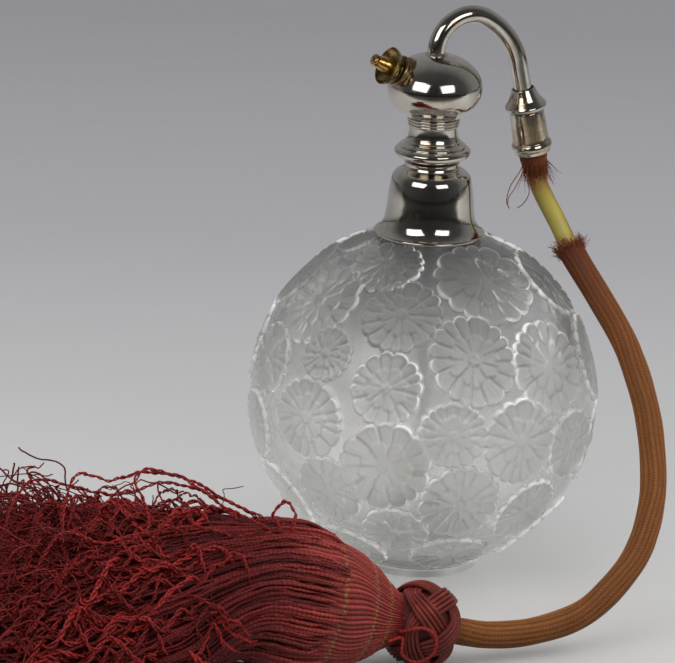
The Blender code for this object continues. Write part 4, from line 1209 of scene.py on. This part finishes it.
def strand_bundle(name, seed, counts, radius_mm, depth_range, start, reach_range, looks, body="tassel"):
    """Strands in locks, from the net's surface out into the fringe, opening and falling as they go."""
    rng = np.random.default_rng(seed)
    locks, per_lock, steps = counts
    sides, crimp, drift, splay = looks
    count = locks * per_lock
    lock = np.arange(count) // per_lock
    lock_turn = np.linspace(-0.30, 1.30, locks) * math.pi + rng.normal(0, 0.04, locks)
    turn = (lock_turn[lock] + rng.normal(0, splay, count))[:, None]
    depth = np.clip(rng.uniform(*depth_range, locks)[lock] + rng.normal(0, 0.035, count), 0.2, 1.04)[:, None]
    reach = (rng.uniform(*reach_range, locks)[lock] * rng.uniform(0.9, 1.05, count))[:, None]
    begin = rng.uniform(*start, count)[:, None]
    t = np.linspace(0, 1, steps)[None]
    distance = begin + (LEAVES_NET + reach - begin) * t
    far = distance - LEAVES_NET
    opened = ramp01(far, 0, 70)
    lock_drift = drift * 0.02 * wander(rng, locks, steps, 0.7)[lock]
    section_turn = math.pi / 2 + (turn - math.pi / 2) * (1 + 0.30 * opened) + lock_drift * ramp01(far, 0, 25)
    section_turn = np.clip(section_turn, LOWEST_TURN, HIGHEST_TURN)
    hang = fringe_point(np.maximum(far, FRINGE_STATIONS[0, 0]), section_turn, depth)
    hang[..., 2] *= 1 - 0.9 * np.clip(0.84 - depth, 0, 1)  # the inner strands have sunk towards the table
    lift = np.minimum(0.35 + 0.9 * rng.random((count, 1)), 1.2) - 12 * (1 - np.minimum(depth, 1))
    lift = lift * ramp01(distance, begin, begin + 4)
    wrap = net_surface_point(np.minimum(distance, HELD_BY_NET), turn, lift)
    wrap = wrap + np.maximum(distance - HELD_BY_NET, 0)[..., None] * TASSEL_AXIS
    share = ramp01(distance, 50, 74)[..., None]
    paths = wrap * (1 - share) + hang * share
    growth, fine_growth, fine_waves = ramp01(far, -14, 42), 0.13 * ramp01(far, -22, 0), reach_range[1] / 5
    for k in range(3):
        own = crimp * wander(rng, count, steps, reach_range[1] / 26, 0.9)
        together = drift * wander(rng, locks, steps, 1.0)[lock]
        paths[:, :, k] += growth * (own + together) + fine_growth * wander(rng, count, steps, fine_waves)
    paths[:, :, 2] = np.maximum(paths[:, :, 2], TABLE_GAP + 1.5 * radius_mm + 0.2 * rng.random((count, 1)))
    radii = radius_mm * MM * (1 - 0.55 * ramp01(t, 0.93, 1.0)) * rng.uniform(0.75, 1.25, (count, 1))
    radii = radii * (1 + 0.10 * wander(rng, count, steps, fine_waves)) * (0.55 + 0.45 * ramp01(t, 0.0, 0.06))
    tint = np.clip(0.5 + 0.28 * rng.normal(size=locks)[lock] + 0.16 * rng.normal(size=count), 0, 1)
    roots = 1 - ramp01(distance, 36, 62)
    mesh = strand_mesh(name, held_inside(paths) * MM, radii, sides, values=tint, roots=roots)
    return new_piece(name, mesh, CRIMSON, body)


def plied_yarns(name, paths, radii, pitch_mm, tint):
    """Bright two-ply yarns along (N, M, 3) paths in mm, each with its tint."""
    mesh = strand_mesh(name, *plied(held_inside(paths) * MM, radii, 2, pitch_mm), 4, values=np.tile(tint, 2))
    new_piece(name, mesh, BRIGHT_CRIMSON, "tassel")


def crossing_yarns(name, seed, count, steps, radius_mm, turn_range=(-0.12, 0.66)):
    """Thick bright yarns that lie over the fringe and wander across the other strands."""
    rng = np.random.default_rng(seed)
    t = np.linspace(0, 1, steps)[None]
    start, span = rng.uniform(0, 34, (count, 1)), rng.uniform(26, 56, (count, 1))
    far = np.minimum(start + span * t, FRINGE_END)
    turn = rng.uniform(*turn_range, (count, 1)) * math.pi
    turn = turn + (0.16 * wander(rng, count, steps, 1.1) + rng.normal(0, 0.16, (count, 1)) * t) * 1.2
    depth = 1.03 + 0.06 * wander(rng, count, steps, 1.6)
    paths = fringe_point(far, np.clip(turn, -0.3 * math.pi, 1.2 * math.pi), depth)
    for k in range(3):
        paths[:, :, k] += 2.6 * wander(rng, count, steps, 0.8, 1.9) + 0.10 * wander(rng, count, steps, 6, 1.2)
    dive = ramp01(t, 0, 0.10) * (1 - ramp01(t, 0.90, 1))
    paths[:, :, 2] = np.maximum(paths[:, :, 2] - 3.0 * (1 - dive), TABLE_GAP + 1.6 * radius_mm)
    radii = radius_mm * MM * rng.uniform(0.6, 1.25, (count, 1)) * (0.5 + 0.5 * dive)
    plied_yarns(name, paths, radii, 6.5, rng.random(count))


FRIZZ_TOP = 39.0  # mm over the table from which loose ends bend over
FRIZZ_EASE = 7.0


def fringe_ends(name, seed, count, steps, radius_mm, far_range, turn_range):
    """The frizzy cut ends: short tightly crimped fibres over the far half of the fringe."""
    rng = np.random.default_rng(seed)
    turn = rng.uniform(*turn_range, count) * math.pi
    far = rng.uniform(*far_range, count)
    root = fringe_point(far, turn, rng.uniform(0.84, 1.0, count))
    t = np.linspace(0, 1, steps)[None]
    length = rng.uniform(8, 26, count)
    heading = unit(FRINGE_AHEAD + rng.normal(0, 0.8, (count, 3)) * np.array((1, 1, 0.40)))
    paths = root[:, None] + heading[:, None] * (length[:, None] * t)[..., None]
    for k in range(3):
        curl = 2.9 * wander(rng, count, steps, 0.9, 1.7) + 0.06 * wander(rng, count, steps, 5.0, 0.8)
        paths[:, :, k] += curl * ramp01(t, 0, 0.25)
    paths[:, :, 2] += rng.uniform(-4, 6.5, (count, 1)) * np.sin(2.6 * t)
    overrun = ((paths - FRINGE_START - FRINGE_END * FRINGE_AHEAD) @ FRINGE_AHEAD)[..., None]
    paths = paths - np.maximum(overrun, 0) * 0.7 * FRINGE_AHEAD
    high = np.maximum(paths[:, :, 2] - FRIZZ_TOP, 0)
    paths[:, :, 2] += FRIZZ_EASE * np.tanh(high / FRIZZ_EASE) - high
    radii = radius_mm * MM * rng.uniform(0.6, 1.4, (count, 1)) * np.ones_like(t)
    mesh = strand_mesh(name, held_inside(paths) * MM, radii, 3, values=rng.random(count))
    new_piece(name, mesh, FINE_CRIMSON, "tassel")


LOOP_LIFT = 1.85  # mm for each step of lift in the loops below
LONG_LOOPS = (  # (distance along the fringe, section angle in half turns, lift) at points of each loop
    (
        (-7, 0.50, 0), (4, 0.50, 3), (14, 0.47, 6.5), (26, 0.45, 9.5),
        (36, 0.48, 8), (44, 0.46, 10), (47, 0.42, 3), (44, 0.38, 0),
    ),
    (
        (-6, 0.47, 0), (8, 0.45, 4), (20, 0.44, 9), (30, 0.42, 10),
        (27, 0.36, 5), (38, 0.36, 4), (47, 0.38, 5.5), (56, 0.36, 1),
    ),
    (
        (-4, 0.55, 0), (10, 0.55, 3.5), (22, 0.52, 5.5), (34, 0.50, 5),
        (46, 0.50, 7.5), (56, 0.50, 8.5), (64, 0.46, 2),
    ),
    ((2, 0.42, 0), (14, 0.40, 2.5), (24, 0.38, 3.5), (36, 0.37, 2), (44, 0.34, 2.5), (52, 0.30, 0)),
    (
        (-7, 0.44, 0), (-9, 0.46, 3), (-7, 0.50, 4.5), (-4, 0.49, 3),
        (-5, 0.46, 1), (2, 0.44, 0.5), (12, 0.42, 0),
    ),
)


def loop_piece(name, knots_of_loops, radius_mm, seed):
    rng = np.random.default_rng(seed)
    steps = 150
    paths = []
    for knots_of_loop in knots_of_loops:
        curve, _ = resampled(curve_through(np.array(knots_of_loop) * np.array((1, math.pi, 1)), 16), 0.4)
        even = np.linspace(0, len(curve) - 1, steps)
        far, turn, lift = (np.interp(even, np.arange(len(curve)), curve[:, k]) for k in range(3))
        path = fringe_point(np.clip(far, -9, 74), turn, np.full(steps, 0.98))
        path[:, 2] += LOOP_LIFT * lift
        paths.append(path)
    paths = np.array(paths)
    for k in range(3):
        paths[:, :, k] += 0.35 * wander(rng, len(paths), steps, 4) + 0.10 * wander(rng, len(paths), steps, 14)
    radii = radius_mm * MM * (1 + 0.15 * wander(rng, len(paths), steps, 9))
    plied_yarns(name, paths, radii, 4.2, rng.uniform(0.2, 0.9, len(paths)))


def loose_loops_of_fringe():
    rng = np.random.default_rng(31)
    small = []
    for _ in range(26):
        far, turn = rng.uniform(8, 58), rng.uniform(0.30, 0.62)
        span, lift = rng.uniform(5, 15), rng.uniform(1.5, 5.0)
        loop = [(0, 0, 0), (0.25, 0.03, 0.7), (0.5, 0.01, 1.0), (0.8, -0.02, 0.75), (0.9, -0.04, 0.1)]
        small.append([(far + span * a, turn + rng.uniform(0.5, 1.5) * b, lift * c) for a, b, c in loop])
    loop_piece("fringe_long_loops", LONG_LOOPS, 0.42, 32)
    loop_piece("fringe_small_loops", small, 0.30, 33)


def knot_loop():
    """A loose thread loop that hangs at the foot of the knot, on the camera's side."""
    turns = np.array((0.52, 0.44, 0.47, 0.60, 0.70, 0.66, 0.56, 0.60)) * math.pi
    along = np.array((17.0, 13.5, 9.5, 8.5, 11.5, 15.5, 16.5, 20.0))
    radius = np.array((8.0, 11.4, 12.0, 12.0, 11.8, 11.2, 9.4, 10.2))
    curve = curve_through(np.stack([turns, along, radius], -1), 10)
    path = about_tassel(curve[:, 2], curve[:, 1], curve[:, 0])
    mesh = strand_mesh("knot_loose_thread", path[None], 0.42 * MM, 6, values=np.array((0.8,)))
    new_piece("knot_loose_thread", mesh, BRIGHT_CRIMSON, "tassel")


def fringe():
    # seed, (locks, strands and points of each), radius, depth, start, reach, (sides, crimp, drift, splay)
    inside = (21, (60, 8, 40), 0.85, (0.10, 0.82), (55, 60), (56, 70), (4, 0.7, 1.2, 0.07))
    outside = (22, (46, 11, 72), 0.50, (0.86, 1.0), (50, 56), (52, 71), (4, 0.5, 1.0, 0.045))
    over_net = (23, (66, 6, 64), 0.42, (0.95, 1.0), (35, 50), (12, 36), (5, 0.35, 0.75, 0.045))
    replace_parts(strand_bundle("fringe_inside", *inside), "tassel_fringe")
    strand_bundle("fringe_body", *outside)
    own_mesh(strand_bundle("fringe_over_net", *over_net, body="bulb"))
    crossing_yarns("fringe_crossing", 24, 84, 110, 0.55)
    crossing_yarns("fringe_front_yarns", 27, 20, 120, 0.78, (-0.16, 0.36))
    fringe_ends("fringe_frizz_far", 25, 900, 30, 0.24, (38, 72), (-0.05, 1.05))
    fringe_ends("fringe_frizz_top", 26, 260, 30, 0.19, (22, 64), (0.30, 0.72))
    loose_loops_of_fringe()
    knot_loop()


# ---------------------------------------------------------------- carried-over CAD pieces


def finish_cad_nodes():
    finishes = (
        (PLASTER, "neck_cement"),
        (CORK, "neck_washer dip_tube_gasket"),
        (BRASS, "collar_thread_insert hose_nipple liquid_tube dip_tube_socket"),
        (BRASS, "outlet_valve_body inlet_valve_body valve_cap"),
        (CLEAR, "dip_tube"),
        (WHIPPING, "neck_binding tail_binding"),
        (STEEL, "outlet_valve_ball inlet_valve_ball"),
        (CRIMSON, "tassel_head_cord"),
    )
    for material, names in finishes:
        for name in names.split():
            for slot in frame["nodes"][name].material_slots:
                slot.material = material


# ---------------------------------------------------------------- floor, light and camera


def studio_floor():
    s = Shade("studio_floor")
    away = s.maths("MULTIPLY_ADD", s.axis("Y"), 0.89, s.maths("MULTIPLY", s.axis("X"), 0.45))
    # Painted shade: the floor's colour darkens with distance from the camera, standing in for the lamps'
    # falloff.
    stops = ((0.0, (0.03, 0.03, 0.03)), (0.10, (0.05, 0.05, 0.05)), (0.24, (0.40, 0.392, 0.382)))
    stops += ((0.42, (0.325, 0.324, 0.322)), (0.70, (0.225, 0.223, 0.233)), (1.0, (0.180, 0.178, 0.190)))
    place = s.maths("ADD", away, 0.40)
    seen, reflected = s.ramp(place, *stops[2:]), s.ramp(place, *stops)  # only reflections show the painted dark zone in front, painted shade for the dark studio round the camera
    tone = s.mix(s.camera_ray(), reflected, seen)
    s.set(Base_Color=tone, Roughness=s.ramp(s.noise(40, 3), (0.3, 0.55), (0.7, 0.65)), Specular_IOR_Level=0.2)
    s.bump(s.noise(0.8, 3), 0.02, 0.2)
    size = 4.0
    corners = np.array(((-size, -size, 0), (size, -size, 0), (size, size, 0), (-size, size, 0)))
    mesh = mesh_from_arrays("studio_floor", corners, [np.array([[0, 1, 2, 3]])], smooth=False)
    new_piece("studio_floor", mesh, s.material, None)


CAMERA_AZIMUTH = math.radians(-26.5)
CAMERA_RISE = math.radians(16.3)
CAMERA_ROLL = math.radians(2.05)
CAMERA_DISTANCE = 1.3
CAMERA_LENS = 271.8
AIM_RIGHT, AIM_UP = -22.65 * MM, -8.55 * MM  # from the globe's axis to the point in the middle of the picture
AIM_HEIGHT = 70 * MM


def aimed(position, target, roll=0.0):
    back = (position - target).normalized()
    right = Vector((0, 0, 1)).cross(back).normalized()
    up = back.cross(right)
    right, up = right * math.cos(roll) + up * math.sin(roll), up * math.cos(roll) - right * math.sin(roll)
    turned_to = Matrix((right, up, back)).transposed().to_4x4()
    return Matrix.Translation(position) @ turned_to, right, up


def from_camera_side(azimuth, rise, distance, target):
    azimuth, rise = CAMERA_AZIMUTH + math.radians(azimuth), math.radians(rise)
    back = Vector((math.sin(azimuth) * math.cos(rise), -math.cos(azimuth) * math.cos(rise), math.sin(rise)))
    return target + distance * back


def camera():
    middle = Vector((0, 0, AIM_HEIGHT))
    position = from_camera_side(0, math.degrees(CAMERA_RISE), CAMERA_DISTANCE, middle)
    _, right, up = aimed(position, middle, CAMERA_ROLL)
    target = middle + AIM_RIGHT * right + AIM_UP * up
    data = bpy.data.cameras.new("camera")
    data.lens = CAMERA_LENS
    data.sensor_width = 36
    data.sensor_fit = "HORIZONTAL"
    data.clip_end = 20
    made = bpy.data.objects.new("camera", data)
    made.matrix_world = aimed(position, target, CAMERA_ROLL)[0]
    bpy.context.scene.collection.objects.link(made)
    bpy.context.scene.camera = made


def softbox(name, azimuth, rise, distance, width, height, power, colour=(1, 1, 1)):
    target = Vector((0, 0, 0.08))
    data = bpy.data.lights.new(name, "AREA")
    data.shape = "RECTANGLE"
    data.size, data.size_y = width, height
    data.energy = power
    data.color = colour
    made = bpy.data.objects.new(name, data)
    made.matrix_world = aimed(from_camera_side(azimuth, rise, distance, target), target)[0]
    bpy.context.scene.collection.objects.link(made)
    return made


def lights():
    softbox("softbox_left", -38, 31, 0.95, 0.62, 0.52, 2.6, (1.0, 0.99, 0.97))
    softbox("softbox_right", 34, 28, 0.95, 0.52, 0.42, 1.9, (1.0, 0.99, 0.98))
    softbox("top_fill", 150, 80, 1.2, 2.4, 2.4, 21.0).visible_glossy = False
    softbox("side_fill", 105, 24, 1.2, 1.4, 1.0, 14.0).visible_glossy = False
    softbox("far_fill", -120, 30, 1.2, 1.4, 1.0, 8.0).visible_glossy = False
    softbox("front_fill", -8, 52, 1.2, 1.8, 1.4, 9.0).visible_glossy = False
    bpy.context.scene.view_settings.view_transform = "Standard"


ROOM_TONES = ((0.0, 0.03), (0.42, 0.075), (0.66, 0.24), (1.0, 0.31))  # from in front of the bottle round it
ROOM_SEEN = (0.26, 0.26, 0.27)


def room():
    """What the bottle reflects: darker in front, lighter behind. The camera itself sees one pale tone."""
    world = bpy.data.worlds.new("studio_room")
    world.use_nodes = True
    s = Nodes(world.node_tree, "Generated")
    facing = s.node("ShaderNodeVectorMath", {"operation": "DOT_PRODUCT"})
    s.feed(facing.inputs[0], s.place)
    s.feed(facing.inputs[1], (-math.sin(CAMERA_AZIMUTH), math.cos(CAMERA_AZIMUTH), -0.10))
    behind = s.maths("MULTIPLY_ADD", facing.outputs["Value"], 0.5, 0.5)
    tones = s.ramp(behind, *[(place, (tone, tone, 1.04 * tone)) for place, tone in ROOM_TONES])
    s.feed(world.node_tree.nodes["Background"].inputs["Color"], s.mix(s.camera_ray(), tones, ROOM_SEEN))
    bpy.context.scene.world = world


# ---------------------------------------------------------------- build

glass_bottle()
bell_collar()
screw_mount()
head_ball()
nozzle_pieces()
gooseneck()
ferrule_pieces()
rubber_hose()
braided_sleeve()
braid_stump()
tassel_knot()
bulb_net()
squeeze_bulb()
fringe()
finish_cad_nodes()
studio_floor()
camera()
lights()
room()
